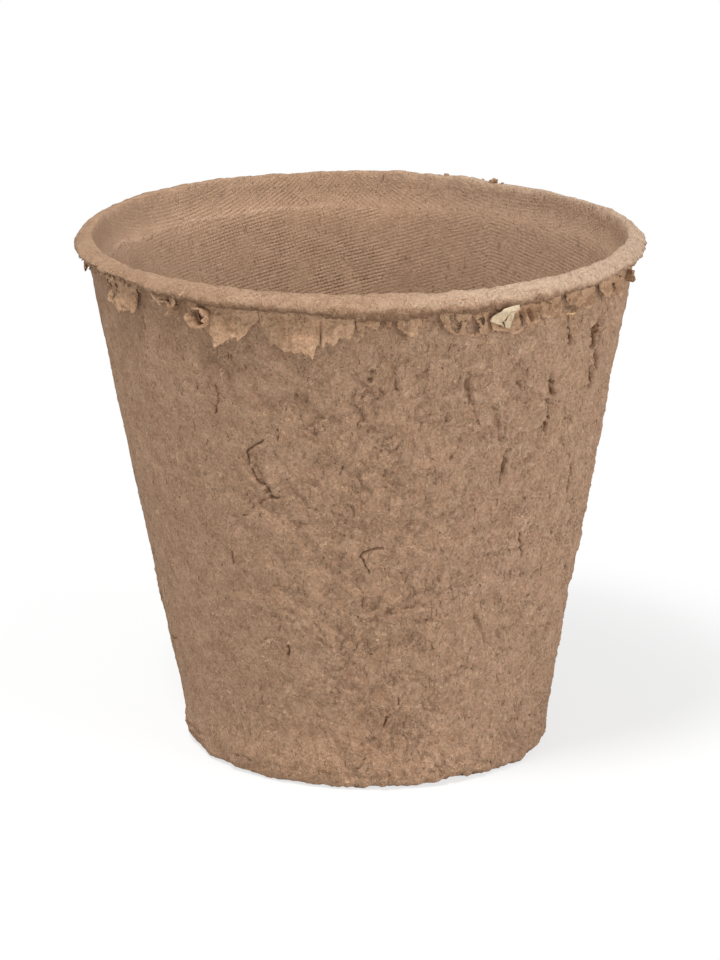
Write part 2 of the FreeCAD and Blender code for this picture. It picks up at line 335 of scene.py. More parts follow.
def insideRadius(height, thickness=pot["wallThickness"]):
    return wallRadius(height) - thickness * math.hypot(1, slope)


def onPot(azimuth, radius, height):
    # azimuth counts from the front, positive towards +X; metres come out
    turn = np.radians(azimuth)
    lean = pot["lean"] * (1 - height / pot["height"])
    return np.stack(np.broadcast_arrays(radius * np.sin(turn) + lean, -radius * np.cos(turn), height),
                    axis=-1) * mm


def potSection():
    # (radius, height, pitch up to the next place, wall, rim, inside, hem): a closed loop that starts under
    # the floor, climbs the outer wall, rolls over the rim and comes back down inside
    top, ledge = pot["height"], pot["height"] - pot["ledgeDepth"]
    neck, floor, hole = pot["neckHeight"], pot["floorThickness"], pot["drainRadius"]
    outer, fine, inner, base = pot["outerPitch"], pot["rimPitch"], pot["insidePitch"], pot["floorPitch"]
    places = [
        (hole + 0.3, 0.25, base, 0.3, 0, 0, 0), (25.0, 0.30, base, 0.3, 0, 0, 0),
        (28.5, 0.02, 0.5, 0.4, 0, 0, 0), (31.6, 0.0, outer, 0.6, 0, 0, 0),
        (32.45, 0.35, outer, 0.8, 0, 0, 0), (32.80, 1.20, outer, 1, 0, 0, 0),
        (wallRadius(5.0), 5.0, outer, 1, 0, 0, 0), (wallRadius(neck - 7), neck - 7, outer, 1, 0, 0, 0),
        (wallRadius(neck - 2), neck - 2, outer, 0.55, 0, 0, 0),
        (wallRadius(neck) + 0.05, neck - 0.2, fine, 0.6, 0.3, 0, 0.4),
        (wallRadius(neck) + 0.6, neck + 0.10, fine, 0.4, 0.6, 0, 1), (49.90, neck - 0.10, fine, 0.3, 1, 0, 1),
        (50.45, neck + 0.15, fine, 0.3, 1, 0, 0.85), (50.68, neck + 0.8, fine, 0.3, 1, 0, 0.75),
        (50.72, neck + 1.6, fine, 0.3, 1, 0, 0.45), (50.50, neck + 2.5, fine, 0.3, 1, 0, 0.15),
        (49.95, top - 0.95, fine, 0.3, 1, 0, 0), (49.25, top - 0.42, fine, 0.3, 1, 0, 0),
        (48.45, top - 0.10, fine, 0.3, 1, 0, 0), (47.75, top - 0.02, fine, 0.25, 1, 0.1, 0),
        (47.45, top - 0.25, fine, 0.2, 0.9, 0.3, 0), (47.36, top - 0.80, 0.4, 0.2, 0.5, 0.6, 0),
        (insideRadius(ledge + 0.9, 1.7), ledge + 0.9, 0.4, 0.2, 0, 1, 0),
        (insideRadius(ledge, 1.9), ledge, 0.4, 0.2, 0, 1, 0),
        (insideRadius(ledge - 0.9), ledge - 0.9, 0.5, 0.2, 0, 1, 0),
        (insideRadius(ledge - 3), ledge - 3, inner, 0.2, 0, 1, 0),
        (insideRadius(6.0), 6.0, inner, 0.2, 0, 1, 0),
        (insideRadius(floor) - 0.3, floor + 1.6, 0.5, 0.2, 0, 1, 0),
        (insideRadius(floor) - 1.8, floor + 0.3, 0.5, 0.2, 0, 1, 0),
        (insideRadius(floor) - 3.4, floor, base, 0.2, 0, 1, 0), (hole + 1.4, floor, 0.4, 0.2, 0, 1, 0),
        (hole + 0.5, floor - 0.05, 0.3, 0.2, 0, 0.6, 0), (hole + 0.08, floor - 0.5, 0.4, 0.2, 0, 0.3, 0),
        (hole, floor / 2, 0.4, 0.2, 0, 0, 0),
    ]
    rows = []
    for i, here in enumerate(places):
        ahead = places[(i + 1) % len(places)]
        reach = math.dist(here[:2], ahead[:2])
        steps = max(1, round(reach / here[2]))
        for step in range(steps):
            share = step / steps
            rows.append([a + (b - a) * share for a, b in zip(here[:2] + here[3:], ahead[:2] + ahead[3:])])
    rows = np.array(rows)
    for _ in range(3):  # the corners are eased
        rows = (np.roll(rows, 1, 0) + 2 * rows + np.roll(rows, -1, 0)) / 4
    return rows


def sectionPiece():
    rows = potSection()
    mesh = bpy.data.meshes.new("mouldedPot")
    count = len(rows)
    mesh.from_pydata([(r * mm, 0, z * mm) for r, z in rows[:, :2]],
                     [(i, (i + 1) % count) for i in range(count)], [])
    for column, name in enumerate(("sectionRadius", "sectionHeight", "wall", "rim", "inside", "hem")):
        kept = mesh.attributes.new(name, "FLOAT", "POINT")
        kept.data.foreach_set("value", rows[:, column].astype(np.float32))
    return addPiece("mouldedPot", mesh), count


# Cracks and folds in the wall, each a line of (azimuth in degrees, height)
wallMarks = {
    "crackDepth": 0.50, "crackWidth": 0.27, "foldDepth": 0.72, "foldWidth": 0.80, "seed": 11,
    "cracks": [
        [(-32.1, 75.9), (-31.6, 73.0), (-32.6, 71.4), (-33.8, 69.8)],
        [(-21.8, 66.3), (-24.6, 64.9), (-26.5, 63.8), (-26.5, 61.7), (-25.0, 59.1), (-23.1, 56.6)],
        [(-29.0, 51.6), (-27.1, 52.2), (-26.6, 53.2), (-24.1, 54.4), (-22.0, 55.6), (-19.0, 55.7)],
        [(-18.5, 68.8), (-18.5, 66.4)], [(-34.0, 44.1), (-34.5, 41.5)],
        [(2.5, 80.1), (1.7, 77.9), (0.2, 74.1), (0.3, 71.2), (-0.8, 69.3)],
        [(2.2, 80.0), (1.3, 77.6), (-0.1, 74.2), (0.0, 71.4), (-1.1, 69.4)],
        [(58.0, 56.4), (58.6, 53.9), (59.4, 50.9)], [(58.4, 56.0), (59.0, 53.5)],
        [(58.5, 83.6), (58.7, 82.1), (58.9, 79.9), (58.6, 78.5), (59.6, 77.0), (61.4, 75.2), (63.2, 73.3)],
        [(59.1, 83.0), (59.5, 80.6), (59.2, 78.8), (60.3, 76.8)], [(58.0, 81.2), (58.1, 79.0), (57.8, 77.8)],
        [(59.3, 74.5), (59.6, 72.8), (59.7, 71.4), (59.4, 70.0)], [(60.2, 74.0), (60.4, 72.2), (60.1, 70.8)],
        [(62.4, 85.2), (62.9, 82.8)], [(64.0, 79.4), (64.6, 77.2)], [(61.0, 69.0), (61.5, 67.2)],
        [(47.0, 86.6), (47.6, 84.1), (48.9, 80.8), (50.2, 79.6)], [(44.5, 75.0), (44.7, 73.4), (46.2, 71.6)],
        [(45.2, 74.6), (45.8, 72.8)], [(44.4, 70.7), (44.6, 68.9)], [(52.4, 84.6), (52.9, 82.0)],
        [(49.6, 76.0), (50.3, 73.6)],
        [(51.0, 68.6), (51.6, 66.0), (51.3, 64.4)], [(32.5, 58.4), (33.0, 57.2)],
        [(41.1, 46.5), (42.7, 41.5)], [(39.3, 39.9), (40.2, 37.4)], [(-0.6, 45.2), (1.1, 42.1)],
        [(-1.2, 45.0), (0.6, 46.2), (4.6, 46.8)],
        [(9.2, 17.8), (9.2, 16.2)], [(-21.0, 26.8), (-21.3, 25.0)], [(-4.7, 3.8), (-2.2, 5.5), (-0.4, 7.1)],
        [(-2.7, 8.5), (-0.6, 9.9)], [(5.3, 11.7), (6.1, 13.9)], [(-50.9, 89.0), (-51.3, 86.0), (-51.2, 82.6)],
        [(33.4, 62.6), (33.8, 59.9)], [(45.7, 68.9), (45.3, 64.8)], [(-5.5, 59.8), (-4.2, 62.4)],
    ],
    "folds": [
        [(22.2, 77.8), (22.9, 74.7), (23.8, 72.7), (25.8, 71.2)], [(28.7, 71.7), (30.9, 68.3), (32.4, 65.3)],
        [(33.6, 63.0), (33.1, 60.5), (33.7, 59.0)], [(44.5, 75.4), (44.7, 73.3), (46.3, 71.5)],
        [(44.4, 70.9), (44.4, 66.3), (43.8, 61.7), (41.7, 61.1), (38.6, 60.3)],
        [(48.3, 85.0), (49.9, 80.5)], [(36.1, 74.8), (39.2, 72.7), (41.8, 71.3)],
        [(6.1, 34.9), (10.4, 35.9), (14.9, 35.5)], [(6.7, 81.5), (6.2, 79.0), (7.0, 76.4)],
        [(-13.7, 75.2), (-12.6, 75.2), (-11.8, 74.2)],
        [(2.5, 80.3), (2.0, 78.4)], [(60.4, 83.5), (60.5, 77.0), (61.9, 71.3)],
        [(-25.3, 62.8), (-23.2, 58.1), (-21.8, 55.8)],
    ],
    "gougeDepth": 0.80, "gougeWidth": 0.66,
    "gouges": [
        [(58.3, 82.4), (58.7, 80.0), (58.4, 78.2)], [(59.4, 81.4), (59.6, 78.9)],
        [(59.5, 77.4), (60.6, 75.8)], [(60.9, 76.2), (62.4, 74.0), (63.2, 73.2)],
        [(59.0, 74.4), (59.7, 71.9)], [(60.3, 73.8), (60.5, 72.4)],
        [(59.6, 71.4), (59.2, 69.6)], [(62.6, 84.8), (63.0, 83.2)], [(44.5, 74.6), (44.7, 73.0)],
        [(45.5, 72.5), (46.2, 71.5)],
        [(44.4, 70.6), (44.5, 69.5)], [(58.0, 56.2), (58.6, 53.9), (59.0, 51.4)],
        [(58.5, 56.0), (59.1, 53.6), (59.5, 51.6)], [(33.5, 61.0), (33.3, 59.5)],
        [(48.5, 81.8), (49.0, 80.3)],
        [(148.0, 62.0), (148.8, 59.8)], [(201.0, 40.5), (200.2, 38.9)], [(118.0, 33.0), (118.6, 31.4)],
    ],
    "hiddenSide": (88.0, 288.0), "hiddenCracks": 26, "hiddenFolds": 9,
}


def wanderingLine(chance, azimuth, height, steps, stride):
    heading = chance.uniform(-0.6, 0.6) + (0 if chance.random() < 0.7 else math.pi / 2)
    line = [(azimuth, height)]
    for _ in range(steps):
        heading += chance.uniform(-0.7, 0.7)
        azimuth += stride * math.sin(heading) * 1.4
        height -= stride * math.cos(heading)
        line.append((azimuth, height))
    return line


def markedLines(name, lines, jitter, seed):
    # the lines as a mesh of short edges on the wall, a little uneven
    chance = random.Random(seed)
    places, edges = [], []
    for line in lines:
        start = len(places)
        for (azimuth, height), (nextAzimuth, nextHeight) in zip(line, line[1:]):
            steps = max(2, round(math.hypot((nextAzimuth - azimuth) * 0.75, nextHeight - height) / 0.7))
            for step in range(steps):
                share = step / steps
                places.append((azimuth + (nextAzimuth - azimuth) * share + chance.uniform(-jitter, jitter),
                               height + (nextHeight - height) * share + chance.uniform(-jitter, jitter)))
        places.append(line[-1])
        edges += [(i, i + 1) for i in range(start, len(places) - 1)]
    mesh = bpy.data.meshes.new(name)
    mesh.from_pydata([tuple(onPot(a, wallRadius(z), z)) for a, z in places], edges, [])
    return addPiece(name, mesh)


def hiddenLines(chance, count, steps, stride):
    low, high = wallMarks["hiddenSide"]
    return [wanderingLine(chance, chance.uniform(low, high), chance.uniform(10, 84), chance.randint(*steps),
                          stride)
            for _ in range(count)]


# How the crumpling and the rim's lower edge change round the pot: (share of a turn from the back, over the
# left side, the front and the right side, to the back again; height from 0 to 1)
crumpleRound = [(0.0, 0.75), (1.0, 0.75), (0.12, 0.78), (0.25, 0.28), (0.33, 0.24), (0.42, 0.42),
                (0.48, 0.75), (0.56, 0.95), (0.66, 1.00), (0.72, 0.72), (0.77, 0.55), (0.86, 0.70)]
hemRound = [(0.0, 0.32), (1.0, 0.32), (0.08, 0.44), (0.17, 0.34), (0.25, 0.55), (0.30, 0.78), (0.332, 0.84),
            (0.360, 0.86), (0.376, 0.56), (0.394, 0.46), (0.408, 0.42), (0.424, 0.40), (0.446, 0.50),
            (0.468, 0.50), (0.480, 0.32), (0.489, 0.22), (0.505, 0.14), (0.530, 0.11), (0.543, 0.34),
            (0.572, 0.22), (0.585, 0.28), (0.612, 0.46), (0.646, 0.60), (0.678, 0.84), (0.713, 0.80),
            (0.78, 0.50), (0.88, 0.39), (0.94, 0.22)]
hemRise = 2.8
streaksRound = [(0.0, 0.0), (1.0, 0.0), (0.60, 0.05), (0.66, 0.9), (0.72, 1.0), (0.80, 0.1)]
crownRound = [(0.0, 0.05), (1.0, 0.05), (0.06, 0.02), (0.15, 0.0), (0.24, 0.12), (0.35, 0.20), (0.50, 0.16),
              (0.65, 0.18), (0.74, 0.10), (0.80, 0.30), (0.865, 0.55), (0.90, 0.62), (0.925, 0.30),
              (0.955, 0.10)]

# Heights of the pot's relief, each from its lowest to its highest place
relief = {
    "swells": 0.9, "lumps": 2.0, "valleys": 0.60, "small": 1.15, "creases": 0.42, "streaks": 0.55,
    "heel": 2.0, "heelLumps": 2.2, "crown": 1.4, "rimLumps": 1.0, "rimKnobs": 0.60, "rimPits": 1.5,
    "grit": 0.42,
    # mark: (height of its lip, unevenness of its line)
    "Crack": (0.12, 0.15), "Fold": (0.50, 2.6), "Gouge": (0.20, 0.6),
}


def potTree():
    tree, given, end = shapeTree("shapePot", [
        ("Columns", "Int", 960), ("Crumple", "Float", 1.0),
        ("Cracks", "Object", None), ("Crack Depth", "Float", 0.7), ("Crack Width", "Float", 0.4),
        ("Gouges", "Object", None), ("Gouge Depth", "Float", 0.6), ("Gouge Width", "Float", 0.5),
        ("Folds", "Object", None), ("Fold Depth", "Float", 0.5), ("Fold Width", "Float", 1.5),
        ("Grit", "Float", 0.12), ("Hem Wander", "Float", 2.0), ("Lean", "Float", 1.2),
        ("Height", "Float", 93.5), ("Widest", "Float", 51.0),
    ])

    section = addNode("GeometryNodeMeshToCurve", {"Mesh": given["Geometry"]})
    circle = addNode("GeometryNodeCurvePrimitiveCircle", {"Resolution": given["Columns"]})
    along = addNode("GeometryNodeSplineParameter")
    rail = keep(circle.outputs["Curve"], "turn", along.outputs["Factor"])
    sweep = addNode("GeometryNodeCurveToMesh", {"Curve": rail, "Profile Curve": section.outputs["Curve"]})
    outward = addNode("GeometryNodeFlipFaces", {"Mesh": sweep.outputs[0]})
    turn = attribute("turn")
    angle = 2 * math.pi * turn - math.pi
    sine, cosine = maths("SINE", angle), maths("COSINE", angle)
    radius, height = attribute("sectionRadius"), attribute("sectionHeight")
    wall, rim, inside = (attribute(name) for name in ("wall", "rim", "inside"))

    # the rim's lower edge wanders up and down, and the heel is fuller at the front
    hem = curveOf(turn, hemRound) * given["Hem Wander"]
    crown = curveOf(turn, crownRound) * -relief["crown"] * rim
    raised = hem * attribute("hem") + height + crown
    low = ramp(height, 12.0, 0.0)
    side = 1.0 - abs(sine) ** 14.0
    wide = low * wall * side * relief["heel"] + radius
    lean = given["Lean"] * (1.0 - height / given["Height"]) * ramp(radius, 9.0, 26.0)
    x = wide * sine + lean
    y = cosine * -1.0 * wide
    body = moveTo(outward.outputs[0], scaled(joinVector(x, y, raised), mm))

    place = placeInMm()
    normal = addNode("GeometryNodeInputNormal").outputs[0]
    warp = vectors("SUBTRACT", grain(place, 0.22, 2.0, output=1), (0.5, 0.5, 0.5))
    warped = vectors("ADD", place, scaled(warp, 5.0))

    # the crumpled skin: broad swells, lumps, and sharp little valleys between them
    strength = curveOf(turn, crumpleRound) * given["Crumple"]
    swells = centred(place, 0.05, relief["swells"], detail=1.0)
    lumps = centred(warped, 0.19, relief["lumps"], detail=3.0, roughness=0.55)
    ridges = abs(grain(warped, 0.12, 2.0, 0.5) - 0.5)
    valleys = ramp(ridges, 0.05, 0.0, 0.0, -relief["valleys"])
    valleys = valleys * ramp(grain(place, 0.09, 1.0), 0.46, 0.60)
    small = centred(warped, 0.55, relief["small"], detail=4.0, roughness=0.70)
    creaseLevel = abs(grain(warped, 0.3, 3.0, 0.55) - 0.5)
    creased = ramp(creaseLevel, 0.045, 0.004) * ramp(grain(place, 0.17, 2.0), 0.48, 0.6)
    creaseBank = ramp(creaseLevel, 0.13, 0.04) * 0.16
    crumple = (lumps + valleys + small - creased * relief["creases"] + creaseBank) * strength
    upright = vectors("MULTIPLY", warped, (1.0, 1.0, 0.22))
    streaks = centred(upright, 0.55, relief["streaks"], detail=2.0) * curveOf(turn, streaksRound)
    squat = vectors("MULTIPLY", place, (1.0, 1.0, 0.6))
    fine = centred(squat, 1.15, given["Grit"], detail=2.0, roughness=0.65) * (strength * 0.9 + 0.6)
    # the heel is lumpy, with a fold that runs round above it
    heelZone = ramp(height, 8.0, 2.0)
    heelLine = abs(height + centred(place, 0.09, 5.0, detail=3.0) - 3.0)
    heelFold = ramp(heelLine, 0.6, 0.1, 0.0, -0.38) + ramp(heelLine, 1.5, 0.5, 0.0, 0.26)
    heel = (heelZone * centred(warped, 0.16, relief["heelLumps"], detail=3.0)
            + ramp(grain(place, 0.13, 2.0), 0.42, 0.58) * heelFold)
    skin = (crumple + streaks + fine + heel) * wall

    # cracks are narrow with a raised lip, folds are wide and soft
    fade = ramp(grain(place, 0.30, 2.0), 0.40, 0.58, 0.20, 1.0)
    marks = []
    for label, depthShare in (("Crack", 1.0), ("Fold", fade), ("Gouge", 1.0)):
        raised, uneven = relief[label]
        wobble = centred(place, 0.95, uneven, detail=3.0)
        info = addNode("GeometryNodeObjectInfo", {"Object": given[label + "s"]}, transform_space="RELATIVE")
        moved = scaled(vectors("ADD", place, scaled(warp, 1.2)), mm)
        near = addNode("GeometryNodeProximity", {0: info.outputs["Geometry"], "Sample Position": moved},
                       target_element="EDGES")
        away = 1 / mm * near.outputs["Distance"] + wobble
        width = given[label + " Width"]
        mask = ramp(away, width, width * 0.15)
        lip = ramp(away, width * 3.4, width) * (1.0 - mask)
        marks.append((mask, (lip * raised - mask) * depthShare * given[label + " Depth"]))
    outerOnly = ramp(wall, 0.5, 0.9)
    marked = (marks[0][1] + marks[1][1] + marks[2][1]) * outerOnly

    # the rim is lumpy, the inside only swells
    rimLumps = (centred(place, 0.16, relief["rimLumps"], detail=2.0)
                + centred(place, 0.45, relief["rimKnobs"], detail=3.0, roughness=0.55)) * rim
    lower = ramp(height, pot["neckHeight"] + 2.6, pot["neckHeight"] + 0.4)
    rimPits = centred(place, 0.75, relief["rimPits"], detail=3.0, roughness=0.68) * lower * rim
    swells = swells * ramp(wall + inside, 0.0, 0.5)
    push = skin + marked + rimLumps + rimPits + swells
    # the hollows of cracks and gouges, and less of folds and creases, are kept on the outside for the painted
    # shade in them
    hollow = maths("MAXIMUM", marks[0][0], marks[2][0])
    hollow = maths("MAXIMUM", hollow, maths("MAXIMUM", marks[1][0] * 0.3, creased * strength * 0.36))
    body = keep(body, "hollow", outerOnly * hollow)
    body = moveTo(body, offset=scaled(normal, push * mm))

    # nothing passes the widest, highest or lowest place that the pot may have
    x, y, z = splitVector(placeInMm())
    reach = vectors("LENGTH", joinVector(x, y, 0.0))
    shrink = maths("MINIMUM", 1.0, given["Widest"] / maths("MAXIMUM", reach, 1.0))
    z = maths("MINIMUM", maths("MAXIMUM", z, 0.0), given["Height"])
    painted(moveTo(body, scaled(joinVector(x * shrink, y * shrink, z), mm)), given["Material"], end)
    return tree


def makePot(material):
    chance = random.Random(wallMarks["seed"])
    cracks = wallMarks["cracks"] + hiddenLines(chance, wallMarks["hiddenCracks"], (1, 4), 1.5)
    folds = wallMarks["folds"] + hiddenLines(chance, wallMarks["hiddenFolds"], (2, 4), 2.2)
    crackLines = markedLines("crackLines", cracks, 0.22, 1)
    foldLines = markedLines("foldLines", folds, 0.30, 2)
    gougeLines = markedLines("gougeLines", wallMarks["gouges"], 0.15, 3)
    piece, rows = sectionPiece()
    print("pot grid:", rows, "rows,", pot["columns"], "columns")
    runTree(piece, potTree(), {
        "Columns": pot["columns"], "Cracks": crackLines, "Folds": foldLines,
        "Crack Depth": wallMarks["crackDepth"], "Crack Width": wallMarks["crackWidth"],
        "Fold Depth": wallMarks["foldDepth"], "Fold Width": wallMarks["foldWidth"],
        "Gouges": gougeLines, "Gouge Depth": wallMarks["gougeDepth"], "Gouge Width": wallMarks["gougeWidth"],
        "Crumple": 1.0, "Grit": relief["grit"], "Hem Wander": hemRise, "Lean": pot["lean"],
        "Height": pot["height"] - 0.01, "Widest": pot["rimRadius"] - 0.01, "Material": material,
    })
    thinOut(piece, pot["triangles"])
    for lines in (crackLines, foldLines, gougeLines):
        bpy.data.objects.remove(lines)
    print("pot made:", len(piece.data.polygons), "faces")
    return settle(piece, "pulp", "moulded_pot")


# The torn skirt of flash under the rim

skirt = {
    "hem": 89.6, "hidden": 2.6, "cell": 0.14, "clear": 0.26, "tuck": 0.12, "thickness": 0.44,
    "edgeThickness": 0.13,
    "ragged": 0.30, "fray": 0.16, "wrinkle": 0.22,
}
arcPerDegree = math.radians(pot["neckRadius"])

# Every sheet: its CAD node, how far its torn edge lifts off the wall, and that edge as (azimuth in degrees,
# drop below the hem). Folds are (azimuth, height, width in degrees), lobes are (from azimuth, to azimuth,
# from drop, lift), holes are (azimuth, drop, half width in degrees, half height) and cuts are the ends of a
# slit with half its width.
tornSheets = {
    "tornPatchLeft": {
        "node": "torn_patch_left", "wrinkle": 0.5, "lift": 1.5, "seed": 1,
        "edge": [(-63.0, 0.6), (-62.6, 2.6), (-61.9, 3.2), (-60.0, 3.5), (-57.6, 4.3), (-56.1, 4.5),
                 (-54.0, 4.0), (-52.4, 4.1), (-51.4, 3.9), (-50.9, 2.0), (-50.6, 0.6)],
        "folds": [(-60.8, 0.35, 0.7), (-54.6, 0.25, 1.2)],
        "holes": [(-61.3, 0.5, 0.8, 0.6), (-58.2, 0.2, 0.6, 0.3)],
    },
    "tornTonguePointed": {
        "node": "torn_tongue_pointed", "lift": 1.9, "seed": 2,
        "edge": [(-36.4, 0.6), (-35.8, 3.1), (-33.7, 4.2), (-31.8, 4.5), (-30.4, 4.7), (-29.9, 5.3),
                 (-29.4, 6.8), (-28.8, 6.5), (-27.8, 5.8), (-26.1, 5.0), (-24.9, 4.6), (-24.6, 5.5),
                 (-24.2, 4.9), (-23.1, 4.4), (-22.1, 2.9), (-21.1, 2.1), (-20.2, 1.4)],
        "folds": [(-33.2, -0.5, 1.6), (-29.2, 0.35, 1.4), (-25.6, 0.25, 0.9)],
        "holes": [(-32.9, 1.75, 1.2, 1.05)],
    },
    "tornSheetBroad": {
        "node": "torn_sheet_broad", "lift": 1.9, "calm": (-18.0, -13.2), "seed": 3,
        "edge": [(-20.3, 1.5), (-19.8, 3.0), (-19.0, 4.2), (-18.1, 5.2), (-16.5, 6.0), (-14.9, 6.4),
                 (-13.0, 6.2), (-11.0, 6.1), (-9.9, 6.6), (-9.1, 7.2), (-8.8, 6.2), (-8.6, 5.0),
                 (-7.9, 5.1), (-7.2, 5.4), (-6.7, 4.4), (-5.9, 4.5), (-5.2, 5.1), (-4.6, 4.1), (-4.0, 3.6),
                 (-3.0, 3.7), (-2.0, 3.9), (-1.4, 3.0), (-1.0, 1.3)],
        "folds": [(-17.4, 0.2, 1.2), (-7.8, -0.35, 0.25), (-5.0, 0.3, 0.8), (-2.4, 0.25, 0.7)],
        "lobes": [(-13.4, -8.9, 3.7, 0.55)], "cuts": [((-7.7, 3.2), (-7.8, 5.2), 0.10)],
    },
    "tornTabMiddle": {
        "node": "torn_tab_middle", "lift": 0.6, "seed": 4,
        "edge": [(-0.9, 1.1), (-0.5, 2.1), (0.5, 2.5), (1.1, 1.3), (1.9, 2.1), (3.1, 2.3), (3.8, 1.3)],
    },
    "tornTabCentre": {
        "node": "torn_tab_centre", "lift": 1.6, "seed": 5,
        "edge": [(6.7, 0.5), (7.3, 2.1), (8.5, 2.9), (9.9, 3.3), (10.9, 3.0), (11.5, 1.7), (12.0, 0.6)],
        "folds": [(9.6, 0.25, 0.8)],
    },
    "tornWebRight": {
        "node": "torn_web_right", "lift": 1.2, "seed": 6,
        "edge": [(15.5, 0.5), (16.4, 1.9), (17.7, 3.4), (19.1, 3.8), (20.5, 3.7), (22.1, 4.1), (23.8, 4.1),
                 (25.1, 4.1), (26.2, 3.3)],
        "holes": [(18.5, 2.0, 1.0, 1.2), (22.1, 2.25, 1.35, 1.4), (24.55, 1.9, 0.35, 0.8)],
    },
    "tornSheetBehindChip": {
        "node": None, "tuck": 0.15, "lift": 2.1, "wrinkle": 0.6, "seed": 7,
        "edge": [(26.0, 3.2), (28.6, 3.9), (30.6, 4.3), (32.4, 4.1), (33.4, 2.9)],
        "folds": [(32.2, 0.2, 0.6)],
    },
    "pleatedFrillRight": {
        "node": "pleated_frill_right", "tuck": 0.35, "lift": 2.5, "wrinkle": 0.75, "seed": 8,
        "edge": [(32.7, 1.2), (33.1, 2.8), (34.0, 3.4), (35.0, 3.2), (36.4, 2.7), (37.3, 1.6)],
        "folds": [(33.5, 0.75, 0.40), (34.5, -0.65, 0.35), (35.4, 0.80, 0.40), (36.4, 0.45, 0.3)],
    },
    "tornTabRight": {
        "node": "torn_tab_right", "tuck": 0.15, "lift": 1.8, "wrinkle": 0.75, "seed": 9,
        "edge": [(37.0, 1.1), (37.7, 2.6), (39.6, 2.9), (41.1, 3.3), (42.6, 2.6), (43.4, 1.4)],
        "folds": [(38.0, 0.35, 0.6), (42.2, 0.3, 0.7)],
    },
    "tornTabFarRight": {
        "node": "torn_tab_far_right", "tuck": 0.15, "lift": 1.8, "wrinkle": 0.75, "seed": 10,
        "edge": [(45.2, 0.5), (45.6, 1.4), (47.2, 2.1), (49.3, 2.7), (51.3, 2.6), (53.4, 2.3), (54.3, 1.2)],
        "folds": [(47.5, 0.4, 0.8), (52.4, 0.35, 0.8)],
    },
    "tornTatterFarRight": {
        "node": "torn_tatter_far_right", "tuck": 0.15, "lift": 1.8, "wrinkle": 0.75, "seed": 11,
        "edge": [(56.1, 0.8), (57.1, 2.2), (58.6, 2.4), (60.1, 3.0), (61.2, 1.5), (62.4, 2.9), (63.8, 2.0),
                 (64.9, 3.1), (66.8, 1.8)],
        "folds": [(58.0, 0.6, 0.8), (61.6, -0.4, 0.6), (64.4, 0.7, 0.8)], "holes": [(62.4, 1.2, 0.7, 0.5)],
    },
    "tornSheetBackRight": {
        "node": "torn_sheet_back_right", "lift": 1.2, "seed": 12,
        "edge": [(95.5, 1.0), (97.0, 2.7), (99.2, 2.6), (101.0, 4.3), (103.0, 3.8), (105.2, 4.8),
                 (107.4, 3.3), (110.0, 3.6), (112.5, 1.3)],
        "folds": [(98.5, 0.3, 1.0), (106.2, 0.4, 1.1)], "lobes": [(100.2, 105.5, 2.6, 0.5)],
    },
    "tornTongueBackRight": {
        "node": "torn_tongue_back_right", "lift": 1.4, "seed": 13,
        "edge": [(136.0, 1.2), (137.6, 2.5), (139.4, 4.3), (141.5, 4.7), (143.2, 6.0), (144.4, 4.3),
                 (146.3, 3.0), (148.0, 1.6)],
        "folds": [(140.0, 0.3, 0.9), (143.4, 0.35, 0.8)],
    },
    "tornSheetBack": {
        "node": "torn_sheet_back", "lift": 1.4, "seed": 14,
        "edge": [(166.0, 1.1), (167.6, 3.2), (170.0, 4.2), (172.4, 4.0), (174.4, 6.0), (176.4, 6.3),
                 (178.4, 4.8), (180.8, 5.1), (183.2, 3.6), (186.0, 1.2)],
        "folds": [(169.4, 0.3, 1.0), (179.6, -0.3, 0.4), (182.0, 0.3, 0.9)],
        "lobes": [(172.6, 177.6, 3.2, 0.5)],
    },
    "tornTabBackLeft": {
        "node": "torn_tab_back_left", "lift": 0.9, "seed": 15,
        "edge": [(212.5, 0.9), (213.9, 2.9), (215.4, 2.6), (216.8, 3.5), (218.4, 2.4), (219.5, 1.1)],
        "folds": [(215.6, 0.3, 0.8)],
    },
    "tornTongueLeft": {
        "node": "torn_tongue_left", "lift": 1.2, "seed": 16,
        "edge": [(259.5, 1.0), (261.3, 3.0), (263.4, 2.8), (265.2, 4.4), (266.8, 4.9), (268.9, 3.2),
                 (270.7, 3.6), (272.5, 1.4)],
        "folds": [(263.0, 0.3, 0.8), (267.4, 0.35, 1.0)],
    },
}

paperChip = {
    "node": "paper_chip", "lift": 0.9, "seed": 21, "clear": 1.05, "tuck": 1.45, "thickness": 0.22,
    "ragged": 0.10, "fray": 0.05,
    "upper": [(25.6, 1.5), (26.8, 0.5), (27.9, -0.4), (29.8, -0.65), (31.3, -0.75)],
    "edge": [(25.6, 1.8), (27.0, 2.35), (28.3, 2.8), (28.9, 3.1), (30.0, 3.5), (30.7, 1.9), (31.3, -0.4)],
    "folds": [(30.1, -0.3, 0.35)],
    "cuts": [((28.4, 2.2), (28.8, 3.0), 0.14), ((28.8, 2.1), (30.4, 0.2), 0.07)],
}


def roughOver(places, scale, octaves, seed):
    # even noise about zero at every point of an array
    shift = Vector((seed * 7.13, seed * 3.71, seed * 1.97))
    flat = [noise.fractal(Vector(place) * scale + shift, 0.75, 2.0, octaves)
            for place in places.reshape(-1, 3)]
    return np.array(flat).reshape(places.shape[:-1])


